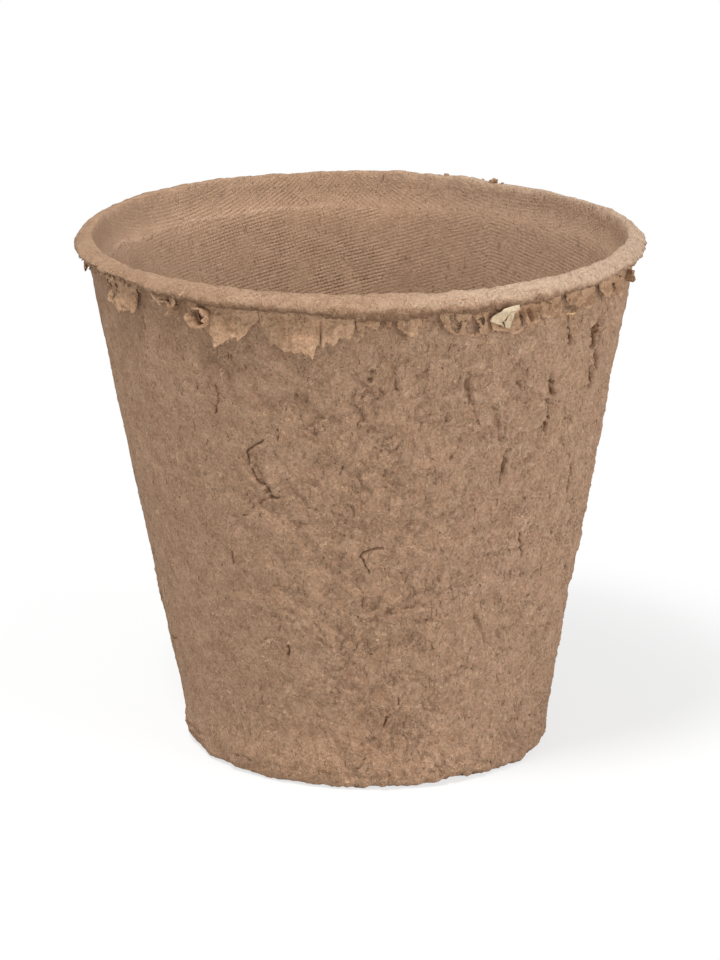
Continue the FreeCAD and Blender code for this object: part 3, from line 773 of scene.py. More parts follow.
def shellMesh(name, front, back, kept, material):
    # closed sheet between two grids of points, with a wall wherever a cell has no kept neighbour
    rows, columns = front.shape[:2]
    index = np.arange(rows * columns).reshape(rows, columns)
    behind = rows * columns
    faces = []
    for i, j in np.argwhere(kept):
        ring = [int(n) for n in (index[i, j], index[i, j + 1], index[i + 1, j + 1], index[i + 1, j])]
        faces.append(ring)
        faces.append([n + behind for n in reversed(ring)])
        for side, (row, column) in enumerate(((i - 1, j), (i, j + 1), (i + 1, j), (i, j - 1))):
            if not (0 <= row < rows - 1 and 0 <= column < columns - 1 and kept[row, column]):
                one, two = ring[side], ring[(side + 1) % 4]
                faces.append([two, one, one + behind, two + behind])
    mesh = bpy.data.meshes.new(name)
    mesh.from_pydata(np.concatenate([front.reshape(-1, 3), back.reshape(-1, 3)]).tolist(), [], faces)
    form = bmesh.new()
    form.from_mesh(mesh)
    bmesh.ops.delete(form, geom=[v for v in form.verts if not v.link_faces], context="VERTS")
    bmesh.ops.recalc_face_normals(form, faces=form.faces)
    form.to_mesh(mesh)
    form.free()
    if material:
        mesh.materials.append(material)
    return mesh


def easeStep(value, low, high):
    share = np.clip((value - low) / (high - low), 0, 1)
    return share * share * (3 - 2 * share)


def openCells(azimuth, below, sheet):
    # which cells of the sheet are there, with the points round each hole drawn onto its edge
    kept = np.ones((azimuth.shape[0] - 1, azimuth.shape[1] - 1), bool)
    thin = np.ones(azimuth.shape)
    middle = [(grid[:-1, :-1] + grid[1:, 1:]) / 2 for grid in (azimuth, below)]
    flat = np.stack([azimuth * arcPerDegree, below, np.zeros(azimuth.shape)], -1)
    uneven = 1 + 0.75 * roughOver(flat, 0.8, 3, sheet["seed"] + 40)
    for place, drop, wide, high in sheet.get("holes", []):
        away = np.hypot((azimuth - place) / wide, (below - drop) / high) * uneven
        gone = (away[:-1, :-1] + away[1:, 1:]) / 2 < 1
        kept &= ~gone
        beside = np.zeros(azimuth.shape, bool)
        for rowShift in (0, 1):
            for columnShift in (0, 1):
                beside[rowShift:rowShift + gone.shape[0], columnShift:columnShift + gone.shape[1]] |= gone
        edge = beside & (away > 0.55)
        azimuth[edge] = place + (azimuth[edge] - place) / away[edge]
        below[edge] = drop + (below[edge] - drop) / away[edge]
        thin = np.minimum(thin, 0.35 + 0.65 * easeStep(away, 1.0, 1.7))
    for (a, b), (c, d), wide in sheet.get("cuts", []):
        along = np.array([(c - a) * arcPerDegree, d - b])
        length = np.hypot(*along)
        offset = np.stack([(middle[0] - a) * arcPerDegree, middle[1] - b], -1)
        share = np.clip(offset @ along / length ** 2, 0, 1)
        kept &= np.linalg.norm(offset - share[..., None] * along, axis=-1) > wide
    # cells that touch only by a corner would pinch the wall between them
    for _ in range(3):
        cross = (kept[:-1, :-1] & kept[1:, 1:] & ~kept[:-1, 1:] & ~kept[1:, :-1])
        other = (~kept[:-1, :-1] & ~kept[1:, 1:] & kept[:-1, 1:] & kept[1:, :-1])
        kept[:-1, :-1][cross] = False
        kept[:-1, 1:][other] = False
    return kept, thin


def tornSheet(name, sheet, material, slot):
    pick = {**skirt, **sheet}
    edge = np.array(sheet["edge"])
    low, high = edge[0, 0], edge[-1, 0]
    columns = max(10, round((high - low) * arcPerDegree / pick["cell"]))
    azimuths = np.linspace(low, high, columns)
    drops = np.interp(azimuths, edge[:, 0], edge[:, 1])
    line = np.stack([azimuths * arcPerDegree, np.zeros(columns), np.zeros(columns)], -1)
    fray = (roughOver(line, 1.3, 3, pick["seed"]) * pick["ragged"]
            + roughOver(line, 4.5, 2, pick["seed"] + 0.5) * pick["fray"])
    drops = np.maximum(drops + fray * np.minimum(1, drops / 2), 0.15)
    upper = np.full(columns, -pick["hidden"])
    if "upper" in sheet:
        line = np.array(sheet["upper"])
        upper = np.interp(azimuths, line[:, 0], line[:, 1])
        drops = np.maximum(drops, upper + 0.12)
    rows = max(8, round((drops - upper).max() / pick["cell"]))
    share = np.linspace(0, 1, rows)[:, None]
    below = upper + (drops - upper) * share
    azimuth = np.repeat(azimuths[None], rows, 0)
    kept, thin = openCells(azimuth, below, sheet)

    down = np.clip(below, 0, None) / max(drops.max(), 0.1)
    flat = np.stack([azimuth * arcPerDegree, below, np.full(azimuth.shape, pick["seed"] * 3.0)], -1)
    # where it is calm the sheet lies on the wall and thins out into it
    loose = easeStep(azimuth, *sheet["calm"]) if "calm" in sheet else 1.0
    offset = pick["clear"] * (0.2 + 0.8 * loose) + pick["tuck"] * (1 - easeStep(below, -0.3, 1.2))
    offset = offset + pick["lift"] * down ** 1.6 * loose
    for place, height, width in sheet.get("folds", []):
        offset = offset + height * np.exp(-((azimuth - place) / width) ** 2) * easeStep(below, 0.2, 1.6)
    for start, stop, drop, lift in sheet.get("lobes", []):
        box = easeStep(azimuth, start - 0.15, start + 0.25) * (1 - easeStep(azimuth, stop - 0.5, stop + 0.3))
        offset = offset + lift * box * easeStep(below, drop - 0.7, drop + 0.4)
    offset = offset + pick["wrinkle"] * roughOver(flat, 0.55, 3, pick["seed"]) * easeStep(below, 0.0, 1.0)
    offset = np.maximum(offset, 0.03 + 0.09 * loose)
    side = np.minimum(azimuth - low, high - azimuth) * arcPerDegree
    taper = (0.3 + 0.7 * easeStep(side, 0.0, 0.7)) * thin * (0.3 + 0.7 * loose)
    thickness = pick["edgeThickness"] + (pick["thickness"] - pick["edgeThickness"]) * (1 - share ** 3) * taper
    thickness = thickness * (1 + 0.25 * roughOver(flat, 1.6, 2, pick["seed"] + 9))
    height = pick["hem"] - below
    radius = wallRadius(height) + offset
    mesh = shellMesh(name, onPot(azimuth, np.minimum(radius + thickness, widestTrim), height),
                     onPot(azimuth, np.minimum(radius, widestTrim - 0.05), height), kept, material)
    return settle(addPiece(name, mesh), slot, *([sheet["node"]] if sheet["node"] else []))


# Strips that rolled up: azimuth and drop of the roll's middle, its size, where it is open (degrees), how
# far it stands out, and how its axis leans (sideways, up)
rolledCurls = {
    "rolledCurlFront": {
        "node": "rolled_curl_front", "azimuth": -32.1, "drop": 1.85, "size": 3.9, "open": (120, 165),
        "reach": 2.4, "lean": (-0.35, 0.0), "seed": 31,
    },
    "rolledCurlLeft": {
        "node": "rolled_curl_left", "azimuth": -40.6, "drop": 1.35, "size": 2.7, "open": (170, 290),
        "reach": 1.7, "lean": (-0.45, 0.05), "seed": 32,
    },
    "rolledCurlFarRight": {
        "node": "rolled_curl_far_right", "azimuth": 72.6, "drop": 1.5, "size": 2.5, "open": (200, 300),
        "reach": 1.6, "lean": (-0.35, 0.0), "seed": 33,
    },
}


def rolledCurl(name, curl, material):
    around = np.linspace(math.radians(curl["open"][1]), math.radians(curl["open"][0]) + 2 * math.pi, 64)
    along = np.linspace(-0.9, 1.0, 18)
    angle, out = np.meshgrid(around, along)
    progress = (angle - around[0]) / (around[-1] - around[0])
    ring = np.stack([np.cos(angle) * 2, np.sin(angle) * 2, out], -1)
    uneven = roughOver(ring, 0.9, 3, curl["seed"])
    radius = curl["size"] / 2 * (1 - 0.16 * progress) * (1 + 0.10 * uneven + 0.06 * out)
    reach = curl["reach"] * out * (1 + 0.22 * roughOver(ring * (1, 1, 0), 1.1, 2, curl["seed"] + 4))
    ends = easeStep(progress, 0, 0.12) * (1 - easeStep(progress, 0.88, 1.0))
    ends = ends * (1 - 0.5 * easeStep(out, 0.6, 1.0))
    thickness = 0.14 + 0.36 * ends

    turn = math.radians(curl["azimuth"])
    height = skirt["hem"] - curl["drop"]
    middle = onPot(curl["azimuth"], wallRadius(height), height) / mm
    side = np.array((math.cos(turn), math.sin(turn), 0))
    outward = np.array((math.sin(turn), -math.cos(turn), 0))
    up = np.array((0, 0, 1.0))
    axis = outward + curl["lean"][0] * side + curl["lean"][1] * up

    def wrap(size):
        flat = (np.cos(angle) * size)[..., None] * side + (np.sin(angle) * size)[..., None] * up
        places = middle + flat + reach[..., None] * axis
        across = np.linalg.norm(places[..., :2], axis=-1)
        limit = np.minimum(1, widestTrim / across)
        places[..., :2] *= limit[..., None]
        return places * mm

    kept = np.ones((len(along) - 1, len(around) - 1), bool)
    mesh = shellMesh(name, wrap(radius), wrap(radius - thickness), kept, material)
    return settle(addPiece(name, mesh), "flash", curl["node"])


def tube(points, radii, sides, form):
    # a closed thin rod through the points, added to the bmesh
    rings = []
    for i, place in enumerate(points):
        ahead = (points[min(i + 1, len(points) - 1)] - points[max(i - 1, 0)]).normalized()
        first = ahead.orthogonal().normalized()
        second = ahead.cross(first)
        rings.append([form.verts.new(place + (first * math.cos(a) + second * math.sin(a)) * radii[i])
                      for a in (2 * math.pi * k / sides for k in range(sides))])
    for one, two in zip(rings, rings[1:]):
        for k in range(sides):
            form.faces.new((one[k], one[(k + 1) % sides], two[(k + 1) % sides], two[k]))
    form.faces.new(list(reversed(rings[0])))
    form.faces.new(rings[-1])


def finishForm(name, form, material):
    bmesh.ops.recalc_face_normals(form, faces=form.faces)
    mesh = bpy.data.meshes.new(name)
    form.to_mesh(mesh)
    form.free()
    mesh.materials.append(material)
    return addPiece(name, mesh)


# A split bit of straw across the wall: each strand is its ends as (azimuth, drop), its bow and its thickness
strawStrands = [
    ((46.2, 3.45), (49.6, 3.85), 0.12, 0.42), ((46.6, 3.60), (48.9, 3.50), 0.22, 0.24),
    ((47.3, 3.75), (48.1, 5.30), 0.20, 0.16), ((48.2, 3.70), (48.5, 4.70), 0.15, 0.12),
    ((46.8, 3.30), (47.2, 2.60), 0.25, 0.14),
]


def makeStraw(material):
    form = bmesh.new()
    for (a, b), (c, d), bow, thick in strawStrands:
        points = []
        for step in range(13):
            share = step / 12
            drop = b + (d - b) * share
            height = skirt["hem"] - drop - 0.10 * math.sin(share * 9 + a)
            out = wallRadius(height) + 0.10 + bow * math.sin(share * math.pi)
            points.append(Vector(onPot(a + (c - a) * share, out, height)))
        radii = [thick / 2 * mm * (0.45 + 0.55 * math.sin(math.pi * (0.12 + 0.76 * step / 12)))
                 for step in range(13)]
        tube(points, radii, 10, form)
    return settle(finishForm("strawSplinter", form, material), "straw", "straw_splinter")


# Crumbs stuck on the back of the rim: azimuth, tilt in degrees, length and thickness
rimCrumbs = [(160.0, 12.0, 0.95, 0.62), (148.5, -14.0, 2.0, 1.10), (151.2, 5.0, 0.6, 0.45),
             (146.2, -8.0, 0.7, 0.40)]


def makeRimCrumbs(material):
    form = bmesh.new()
    surface = BVHTree.FromObject(mouldedPot, bpy.context.evaluated_depsgraph_get())
    for number, (azimuth, tilt, length, thick) in enumerate(rimCrumbs):
        made = bmesh.ops.create_icosphere(form, subdivisions=4, radius=0.5)["verts"]
        over = Vector(onPot(azimuth, 48.3, pot["height"] + 5))
        middle = surface.ray_cast(over, Vector((0, 0, -1)))[0] + Vector((0, 0, thick * 0.2 * mm))
        turn, lift = math.radians(azimuth), math.radians(tilt)
        side = Vector((math.cos(turn) * math.cos(lift), math.sin(turn) * math.cos(lift), math.sin(lift)))
        out = Vector((math.sin(turn), -math.cos(turn), 0))
        up = side.cross(out)
        for v in made:
            p = v.co.copy()
            rough = 1 + 0.42 * noise.fractal(p * 2.6 + Vector((number * 5.0, 1, 2)), 0.7, 2.0, 4)
            narrow = 1 - 0.35 * p.x
            v.co = middle + (side * p.x * length + (out * p.y + up * p.z) * thick * narrow) * rough * mm
            v.co.z = min(v.co.z, (pot["height"] + 0.8) * mm)
    return settle(finishForm("rimCrumbs", form, material), "flash", "rim_crumbs")


# What lies scattered: loose fibres on the skin, and scraps along the rim's lower edge

# where scraps hang: (share of a turn from the back, chance)
scrapsRound = [(0.0, 0.6), (1.0, 0.6), (0.20, 0.8), (0.235, 0.3), (0.265, 0.3), (0.32, 0.95), (0.355, 1.0),
               (0.395, 0.9), (0.405, 0.0), (0.496, 0.0), (0.50, 0.7), (0.54, 0.4), (0.545, 0.0),
               (0.59, 0.0), (0.60, 0.8), (0.70, 0.8), (0.72, 0.1), (0.765, 0.1), (0.80, 0.7)]
looseFibres = {"density": 34000.0, "length": 1.35, "thickness": 0.066, "lift": 0.10, "seed": 4}
hemScraps = {"count": 150, "seed": 8, "top": 89.5, "spread": 0.5, "size": 1.0, "rough": 0.5}


def chanceOf(low, high, seed):
    node = addNode("FunctionNodeRandomValue", {2: low, 3: high, "Seed": seed}, data_type="FLOAT")
    return node.outputs[1]


def nearestOn(skin, value):
    node = addNode("GeometryNodeSampleNearestSurface", {
        "Mesh": skin, "Value": value,
    }, data_type="FLOAT_VECTOR")
    return node.outputs["Value"]


def fibreTree():
    tree, given, end = shapeTree("looseFibres", [
        ("Skin", "Object", None), ("Density", "Float", 30000.0), ("Length", "Float", 1.5),
        ("Thickness", "Float", 0.07), ("Lift", "Float", 0.1), ("Seed", "Int", 1),
    ])
    info = addNode("GeometryNodeObjectInfo", {"Object": given["Skin"]}, transform_space="RELATIVE")
    skin = info.outputs["Geometry"]
    # there are fewer on the rim and inside
    sparse = maths("MAXIMUM", attribute("inside"), attribute("rim")) * -0.85 + 1.0
    points = addNode("GeometryNodeDistributePointsOnFaces", {
        "Mesh": skin, "Density": given["Density"] * sparse, "Seed": given["Seed"]})
    strand = addNode("GeometryNodeCurveQuadraticBezier", {
        "Resolution": 5, "Start": (-0.5, 0, 0), "Middle": (0.05, 0.35, 0), "End": (0.5, 0, 0)})
    spin = addNode("FunctionNodeAxisAngleToRotation", {
        "Axis": (0, 0, 1), "Angle": chanceOf(0.0, 2 * math.pi, 1)})
    turned = addNode("FunctionNodeRotateRotation", {0: points.outputs["Rotation"], 1: spin.outputs[0]},
                     rotation_space="LOCAL")
    length = chanceOf(0.35, 1.0, 2) * given["Length"] * mm
    placed = addNode("GeometryNodeInstanceOnPoints", {
        "Points": points.outputs["Points"], "Instance": strand.outputs[0], "Rotation": turned.outputs[0],
        "Scale": joinVector(length, length * chanceOf(-0.9, 0.9, 3), length)})
    real = addNode("GeometryNodeRealizeInstances", {0: placed.outputs[0]})
    # each strand follows the skin, its ends a little off it
    along = addNode("GeometryNodeSplineParameter").outputs["Factor"]
    lift = (abs(along * 2.0 - 1.0) ** 3.0 * given["Lift"] + 0.03) * mm
    foot = nearestOn(skin, addNode("GeometryNodeInputPosition").outputs[0])
    outward = nearestOn(skin, addNode("GeometryNodeInputNormal").outputs[0])
    laid = moveTo(real.outputs[0], vectors("ADD", foot, scaled(outward, lift)))
    ring = addNode("GeometryNodeCurvePrimitiveCircle", {
        "Resolution": 3, "Radius": given["Thickness"] * (mm / 2)})
    solid = addNode("GeometryNodeCurveToMesh", {
        "Curve": laid, "Profile Curve": ring.outputs[0], "Fill Caps": True})
    painted(solid.outputs[0], given["Material"], end)
    return tree


def makeFibres(material):
    piece = addPiece("looseFibres", bpy.data.meshes.new("looseFibres"))
    runTree(piece, fibreTree(), {
        "Skin": mouldedPot, "Density": looseFibres["density"], "Length": looseFibres["length"],
        "Thickness": looseFibres["thickness"], "Lift": looseFibres["lift"], "Seed": looseFibres["seed"],
        "Material": material,
    })
    keepInside(piece)
    print("loose fibres made:", len(piece.data.polygons), "faces")
    return settle(piece, "flash")


def keepInside(piece):
    # small pieces never widen the pot
    for vertex in piece.data.vertices:
        across = math.hypot(vertex.co.x, vertex.co.y) / mm
        if across > widestTrim:
            vertex.co.x, vertex.co.y = (value * widestTrim / across for value in vertex.co.xy)
        vertex.co.z = min(max(vertex.co.z, 0.0), pot["height"] * mm)


def scrapShape():
    # a torn scrap about a millimetre wide that hangs down from its origin
    outline = np.array([(-0.5, 0.5, 0.2), (-0.46, 0.38, -0.4), (-0.40, 0.47, -0.8), (-0.22, 0.34, -1.1),
                        (-0.02, 0.06, -1.5)])
    grids = []
    for depth in (0.10, -0.10):
        rows = [[(low + (high - low) * share, depth * (1.1 + z / 1.6) - 0.30 * z * z * (1 - share), z)
                 for share in (0, 0.3, 0.5, 0.75, 1.0)] for low, high, z in outline]
        grids.append(np.array(rows))
    kept = np.ones((4, 4), bool)
    mesh = shellMesh("tornScrap", grids[0] * mm, grids[1] * mm, kept, None)
    return addPiece("tornScrap", mesh)


def scrapTree():
    tree, given, end = shapeTree("hemScraps", [
        ("Scrap", "Object", None), ("Count", "Int", 120), ("Seed", "Int", 1), ("Radius", "Float", 49.0),
        ("Top", "Float", 90.0), ("Spread", "Float", 0.5), ("Size", "Float", 1.0), ("Rough", "Float", 0.5),
        ("Hem Wander", "Float", 2.0),
    ])
    azimuth = chanceOf(-math.pi, math.pi, given["Seed"])
    radius = given["Radius"] + chanceOf(-0.25, 0.75, 2)
    share = 1 / (2 * math.pi) * azimuth + 0.5
    hem = curveOf(share, hemRound) * given["Hem Wander"] + given["Top"]
    height = chanceOf(-1.0, 0.2, 3) * given["Spread"] + hem
    spot = joinVector(radius * maths("SINE", azimuth), maths("COSINE", azimuth) * -1.0 * radius, height)
    points = addNode("GeometryNodePoints", {"Count": given["Count"], "Position": scaled(spot, mm)})
    info = addNode("GeometryNodeObjectInfo", {"Object": given["Scrap"], "As Instance": True},
                   transform_space="ORIGINAL")
    tilt = joinVector(chanceOf(-0.35, 0.25, 4), chanceOf(-0.5, 0.5, 5), azimuth + chanceOf(-0.5, 0.5, 9))
    turn = addNode("FunctionNodeEulerToRotation", {0: tilt})
    size = joinVector(chanceOf(1.0, 3.4, 6) * given["Size"], 1.0, chanceOf(0.5, 1.5, 7) * given["Size"])
    placed = addNode("GeometryNodeInstanceOnPoints", {
        "Points": points.outputs[0], "Instance": info.outputs["Geometry"], "Rotation": turn.outputs[0],
        "Scale": size, "Selection": maths("LESS_THAN", chanceOf(0.0, 1.0, 12), curveOf(share, scrapsRound))})
    real = addNode("GeometryNodeRealizeInstances", {0: placed.outputs[0]})
    shift = vectors("SUBTRACT", grain(placeInMm(), 1.1, 3.0, 0.65, output=1), (0.5, 0.5, 0.5))
    torn = moveTo(real.outputs[0], offset=scaled(shift, 2 * mm * given["Rough"]))
    painted(torn, given["Material"], end)
    return tree


def makeScraps(material):
    piece = addPiece("hemScraps", bpy.data.meshes.new("hemScraps"))
    scrap = scrapShape()
    runTree(piece, scrapTree(), {
        "Scrap": scrap, "Count": hemScraps["count"], "Seed": hemScraps["seed"],
        "Radius": pot["neckRadius"] + 0.6,
        "Top": hemScraps["top"], "Spread": hemScraps["spread"], "Size": hemScraps["size"],
        "Rough": hemScraps["rough"], "Hem Wander": hemRise, "Material": material,
    })
    bpy.data.objects.remove(scrap)
    keepInside(piece)
    print("hem scraps made:", len(piece.data.polygons), "faces")
    return settle(piece, "flash")


# Materials


def colour(red, green, blue):
    # screen values of 0 to 255, as linear colour
    shares = (value / 255 for value in (red, green, blue))
    return (*((v / 12.92 if v <= 0.04045 else ((v + 0.055) / 1.055) ** 2.4) for v in shares), 1.0)


def blend(share, first, second, kind="MIX"):
    node = addNode("ShaderNodeMix", {0: share, 6: first, 7: second}, data_type="RGBA", blend_type=kind)
    return node.outputs[2]


# Fibres: (scale, offset, width, gap between them). Flecks: (scale, how rare, size, tint).
fibreSizes = [(0.55, (3.1, 7.7, 1.3), 0.026, 0.52), (0.9, (13.0, 2.2, 5.1), 0.034, 0.54),
              (1.5, (23.4, 11.2, 9.7), 0.048, 0.52)]
fleckSizes = [(0.42, 0.90, 0.10, colour(84, 58, 40)), (0.95, 0.93, 0.16, colour(98, 70, 50)),
              (0.30, 0.93, 0.07, colour(214, 190, 160))]


def pulpGroup():
    # fibres, flecks and mottling of dried pulp, in millimetres of object space
    tree, given, end = newTree("pulpGrain", "ShaderNodeTree", [
        ("Place", "Vector", None), ("Dark", "Color", (0.27, 0.16, 0.10, 1)),
        ("Light", "Color", (0.39, 0.25, 0.16, 1)), ("Fibre Colour", "Color", (0.52, 0.37, 0.25, 1)),
        ("Pit Colour", "Color", (0.14, 0.08, 0.05, 1)), ("Fibres", "Float", 1.0), ("Flecks", "Float", 1.0),
    ], [("Color", "Color", None), ("Height", "Float", None), ("Roughness", "Float", None)])
    place = given["Place"]
    mottle = grain(place, 0.3, 4.0, 0.62) * 0.36 + grain(place, 1.9, 4.0, 0.72) * 0.64
    result = blend(ramp(mottle, 0.36, 0.64, kind="LINEAR"), given["Dark"], given["Light"])
    # threads: thin bands along a noise's middle level, broken up by another
    heights = []
    for scale, offset, thin, gateLow in fibreSizes:
        moved = vectors("ADD", place, offset)
        line = ramp(abs(grain(moved, scale, 1.0, 0.4, 0.6) - 0.5), thin, 0.0)
        heights.append(line * ramp(grain(moved, scale * 0.8, 1.0), gateLow, gateLow + 0.08))
    threads = maths("MAXIMUM", maths("MAXIMUM", *heights[:2]), heights[2]) * given["Fibres"]
    result = blend(threads * 0.62, result, given["Fibre Colour"])
    # short dark dashes and grit, upright like the marks of drying
    upright = vectors("MULTIPLY", place, (1.0, 1.0, 0.42))
    patches = ramp(grain(place, 0.35, 2.0), 0.40, 0.62, 0.35, 1.0)
    dashes = ramp(grain(upright, 1.5, 3.0, 0.65, 0.8), 0.6, 0.72) * patches
    pits = ramp(grain(place, 2.8, 3.0, 0.65), 0.62, 0.74)
    dark = maths("MAXIMUM", dashes, pits * 0.8)
    result = blend(dark * 0.72, result, given["Pit Colour"])
    # bits of bark and pale chaff in scattered cells
    fleckHeights = []
    stretched = vectors("ADD", place, scaled(grain(place, 1.3, 2.0, output=1), 0.7))
    for scale, rare, size, tint in fleckSizes:
        cells = addNode("ShaderNodeTexVoronoi", {"Vector": stretched, "Scale": scale}).outputs
        chosen = ramp(splitVector(cells["Color"])[0], rare, rare + 0.01)
        fleck = ramp(cells["Distance"], size, size * 0.6) * chosen * given["Flecks"]
        result = blend(fleck * 0.8, result, tint)
        fleckHeights.append(fleck)
    fuzz = grain(upright, 1.3, 4.0, 0.7, 0.5) * 1.1 + grain(place, 3.4, 3.0, 0.65) * 0.5
    height = fuzz + threads * 0.3 - dark * 0.55 - fleckHeights[0] * 0.2
    feed(end, "Color", result)
    feed(end, "Height", height)
    feed(end, "Roughness", ramp(mottle, 0.3, 0.7, 0.95, 0.86))
    return tree


# Strips of the woven screen round the inside: where each starts (degrees from the back) and how its rows tilt
screenStrips = [(-180, 4), (-128, 26), (-66, 14), (33, -16), (110, 9)]


def screenGroup():
    # print of the woven screen that the pulp was drawn onto, laid flat round the cone in strips
    tree, given, end = newTree("screenPrint", "ShaderNodeTree", [
        ("Place", "Vector", None), ("Pitch", "Float", 0.65), ("Ledge", "Float", 84.0),
    ], [("Height", "Float", None)])
    x, y, z = splitVector(given["Place"])
    # unrolled cone: distance from the apex, and the angle that the unrolled sheet turns through
    half = math.atan(slope)
    reach = (z + pot["baseRadius"] / slope) / math.cos(half)
    angle = maths("ARCTAN2", x, y)
    wavy = angle + centred(given["Place"], 0.15, 0.05, detail=2.0)
    tilt = math.radians(screenStrips[0][1])
    for (start, lean), (_, before) in zip(screenStrips[1:], screenStrips):
        tilt = maths("GREATER_THAN", wavy, math.radians(start)) * math.radians(lean - before) + tilt
    # above the ledge the screen was a flat ring, so its threads turn with the place round the pot
    above = maths("GREATER_THAN", z, given["Ledge"])
    tilt = choose(above, tilt, math.radians(51))
    reach = choose(above, reach, z - 40.0)
    flat = angle * choose(above, math.sin(half), 1.0)
    across = reach * maths("SINE", flat)
    down = reach * maths("COSINE", flat)
    cosine, sine = maths("COSINE", tilt), maths("SINE", tilt)
    wander = centred(given["Place"], 0.10, 0.7, detail=2.0)
    u = across * cosine + down * sine + wander
    v = down * cosine - across * sine + wander
    along, rows = (abs(maths("SINE", line / given["Pitch"] * math.pi)) for line in (u, v))
    grid = ramp(wavy, -0.30, 0.30, choose(above, 0.52, 0.14), choose(above, 0.24, 0.80))
    woven = choose(grid, rows, along)
    # the print is clear in places and worn or filled in others
    clear = ramp(grain(given["Place"], 0.16, 3.0, 0.6), 0.34, 0.62, 0.30, 1.0)
    clear = clear * ramp(grain(given["Place"], 1.1, 2.0), 0.36, 0.6, 0.5, 1.1)
    clear = clear * ramp(wavy, -0.08, 0.24, 1.5, 0.6) * ramp(wavy, -1.05, -0.5, 0.48, 1.0)
    clear = clear * choose(above, 1.0, 0.7)
    feed(end, "Height", clear * (woven - 0.6) + 0.6)
    return tree


pulpGrain = pulpGroup()
screenPrint = screenGroup()

finishes = {
    "pulp": {"dark": colour(136, 104, 80), "light": colour(177, 145, 119), "fibre": colour(200, 168, 138),
             "pit": colour(98, 61, 36), "fibres": 1.0, "flecks": 1.0, "bump": 1.0, "depth": 0.34},
    "flash": {"dark": colour(144, 110, 83), "light": colour(186, 152, 123), "fibre": colour(198, 168, 138),
              "pit": colour(98, 66, 44), "fibres": 1.0, "flecks": 0.6, "bump": 0.9, "depth": 0.26},
    "paper": {"dark": colour(172, 150, 122), "light": colour(214, 196, 168), "fibre": colour(216, 200, 176),
              "pit": colour(140, 116, 92), "fibres": 0.5, "flecks": 0.3, "bump": 0.5, "depth": 0.2},
    "straw": {"dark": colour(176, 140, 100), "light": colour(214, 182, 140), "fibre": colour(224, 196, 156),
              "pit": colour(140, 104, 70), "fibres": 0.5, "flecks": 0.2, "bump": 0.3, "depth": 0.2},
}

# The moulding's marks, painted light and painted shade: a colour and how much of it shows, then what each
# adds to the bump. The painted shade in the creases and in the hollows of the cracks, and the painted light
# on the right side, are outside, the rest lies on the rim or inside.
mouldMarks = {
    "crease": (colour(116, 76, 46), 0.24), "litRightSide": (1.17, 1.19, 1.23, 1.0), "hollow": colour(104, 63, 37),
    "paleLitRimTop": colour(204, 182, 160), "rimShadeLeft": colour(140, 110, 84), "hem": (colour(106, 76, 54), 0.68),
    "speck": (colour(88, 56, 36), 0.70), "paintedLightInside": colour(202, 170, 144),
    "print": (colour(96, 70, 52), 0.27), "ledge": (colour(196, 166, 142), 0.36),
    "screenPitch": 0.65, "ledgeHeight": 86.5, "ledgeLine": 87.8,
    "creaseBump": 0.40, "ridgeBump": 0.60, "printBump": 0.38, "ledgeBump": 0.30, "hemBump": 0.60,
    "insideSmoother": 0.35, "rightBump": 1.35,
}


def stored(label):
    return addNode("ShaderNodeAttribute", attribute_name=label).outputs["Fac"]


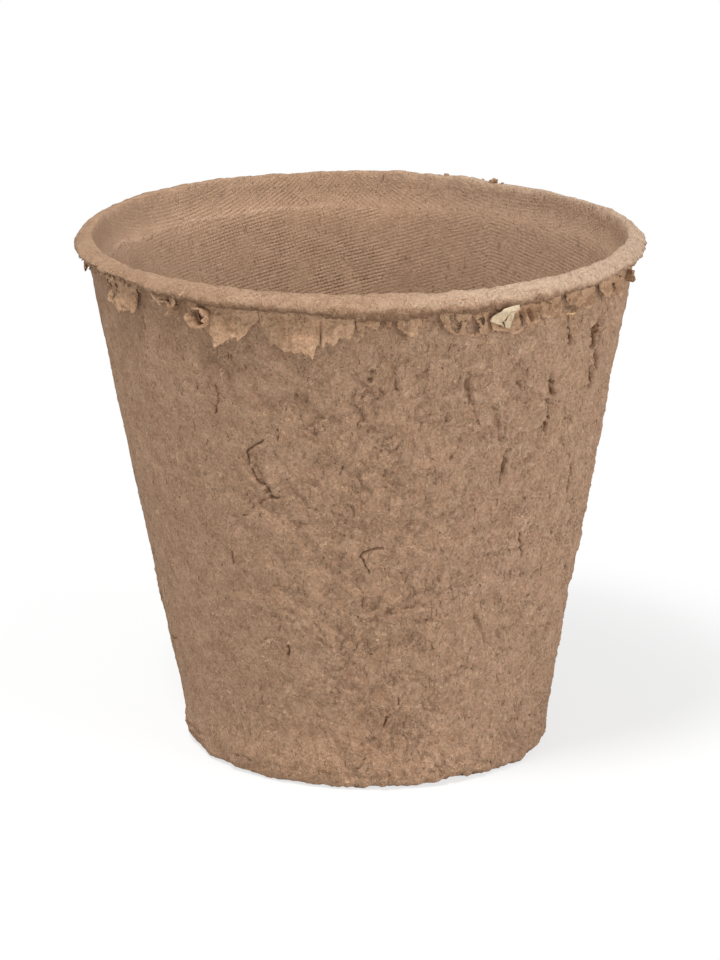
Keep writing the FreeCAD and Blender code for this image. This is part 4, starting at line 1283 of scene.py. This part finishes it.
def dressMould(place, tint, height):
    def mark(share, colourAndAmount):
        return blend(share * colourAndAmount[1], tint, colourAndAmount[0])

    hollow, rim, inside = (stored(label) for label in ("hollow", "rim", "inside"))
    x, _, z = splitVector(place)
    outside = 1.0 - maths("MAXIMUM", inside, rim)
    # thin creases between the lumps, more of them on the right, with painted shade in them
    crease = abs(grain(vectors("MULTIPLY", place, (1.0, 1.0, 0.55)), 0.46, 2.0, 0.5, 0.3) - 0.5)
    creased = (ramp(crease, 0.034, 0.0) * ramp(grain(place, 0.42, 2.0), 0.5, 0.64)
               * (outside * ramp(x, -20.0, 16.0, 0.3, 1.0)))
    tint = mark(creased, mouldMarks["crease"])
    # painted light: the outer wall is painted lighter towards the right, where more light falls
    tint = blend(ramp(x, 0.0, 26.0) * (1.0 - inside), tint, mouldMarks["litRightSide"], "MULTIPLY")
    # painted shade in the hollows of the cracks, more of it on the right
    tint = blend(ramp(hollow, 0.12, 0.85) * ramp(x, 8.0, 36.0, 0.72, 0.92), tint, mouldMarks["hollow"])
    # the rim's top is painted paler, partly its own paler felt and partly painted light from above; the rim's
    # left side gets painted shade, and where it turns under it is pitted and darker, partly its own brown and
    # partly painted shade under the roll
    rough = grain(place, 1.1, 4.0, 0.68)
    wavy = z - 1.2 + grain(place, 0.5, 3.0, 0.6) * 2.4
    top = ramp(wavy, 90.6, 92.2) * rim
    tint = blend(top * ramp(x, -5.0, 30.0, 0.08, 0.42), tint, mouldMarks["paleLitRimTop"])
    # painted shade on the rim's left side
    tint = blend(rim * ramp(x, 25.0, 0.0, 0.0, 0.16), tint, mouldMarks["rimShadeLeft"])
    # the hem is darker and pitted: partly its own brown, partly painted shade under the roll of the rim
    hem = ramp(wavy, 91.6, 90.2) * rim * ramp(rough, 0.34, 0.56, 0.15, 1.0)
    tint = mark(hem, mouldMarks["hem"])
    # inside are the screen's print and a few specks, with painted light on the left and near the top, and a
    # painted highlight along the line of the ledge
    screen = addNode("ShaderNodeGroup", {
        "Place": place, "Pitch": mouldMarks["screenPitch"], "Ledge": mouldMarks["ledgeHeight"],
    }, node_tree=screenPrint)
    printed = screen.outputs["Height"] * inside
    specks = ramp(grain(place, 0.62, 2.0, 0.5), 0.735, 0.765) * inside
    tint = mark(specks, mouldMarks["speck"])
    # painted light inside: lighter on the left, a little on the right and near the top
    insideLightShare = ramp(x, -12.0, -42.0, 0.24, 0.46) + ramp(x, 8.0, 30.0, 0.0, 0.1) + ramp(z, 86.0, 88.0, 0.0, 0.14)
    tint = blend(inside * insideLightShare, tint, mouldMarks["paintedLightInside"])
    tint = mark(inside - printed, mouldMarks["print"])
    # the ledge's pale line is a painted highlight where the small step faces up
    ledge = ramp(abs(grain(place, 0.12, 2.0) * 2.4 + z - mouldMarks["ledgeLine"]), 0.6, 0.1)
    pale = ledge * inside * ramp(rough, 0.4, 0.6, 0.2, 1.0) * ramp(x, 12.0, -12.0, 0.15, 1.0)
    tint = mark(pale, mouldMarks["ledge"])

    height = height * ramp(x, 0.0, 28.0, 1.0, mouldMarks["rightBump"])
    ridge = ramp(crease, 0.0, 0.2) * outside * ramp(x, -20.0, 20.0, 0.05, mouldMarks["ridgeBump"])
    height = height - creased * mouldMarks["creaseBump"] + ridge
    height = height * (inside * -mouldMarks["insideSmoother"] + 1.0)
    height = (height + printed * mouldMarks["printBump"] + pale * mouldMarks["ledgeBump"]
              - hem * mouldMarks["hemBump"])
    return tint, height


def pulpMaterial(name, finish, dressed=False):
    material = bpy.data.materials.new(name)
    material.use_nodes = True
    shader = workOn(material.node_tree).nodes["Principled BSDF"]
    place = scaled(addNode("ShaderNodeTexCoord").outputs["Object"], 1 / mm)
    fibres = finish["fibres"]
    if dressed:
        fibres = fibres - stored("inside") * 0.6
    pulp = addNode("ShaderNodeGroup", {
        "Place": place, "Dark": finish["dark"], "Light": finish["light"], "Fibre Colour": finish["fibre"],
        "Pit Colour": finish["pit"], "Fibres": fibres, "Flecks": finish["flecks"],
    }, node_tree=pulpGrain)
    tint, height = pulp.outputs["Color"], pulp.outputs["Height"]
    if dressed:
        tint, height = dressMould(place, tint, height)
    bump = addNode("ShaderNodeBump", {
        "Strength": finish["bump"], "Distance": finish["depth"] * mm, "Height": height})
    for label, value in (("Base Color", tint), ("Roughness", pulp.outputs["Roughness"]),
                         ("Normal", bump.outputs[0]), ("Specular IOR Level", 0.12)):
        feed(shader, label, value)
    return material


materials = {name: pulpMaterial(name, finish, name == "pulp") for name, finish in finishes.items()}
print("materials ready")

mouldedPot = makePot(materials["pulp"])

for name, sheet in tornSheets.items():
    tornSheet(name, sheet, materials["flash"], "flash")
tornSheet("paperChip", paperChip, materials["paper"], "paper")
for name, curl in rolledCurls.items():
    rolledCurl(name, curl, materials["flash"])
makeStraw(materials["straw"])
makeRimCrumbs(materials["flash"])
print("torn skirt made")
makeScraps(materials["flash"])
makeFibres(materials["flash"])
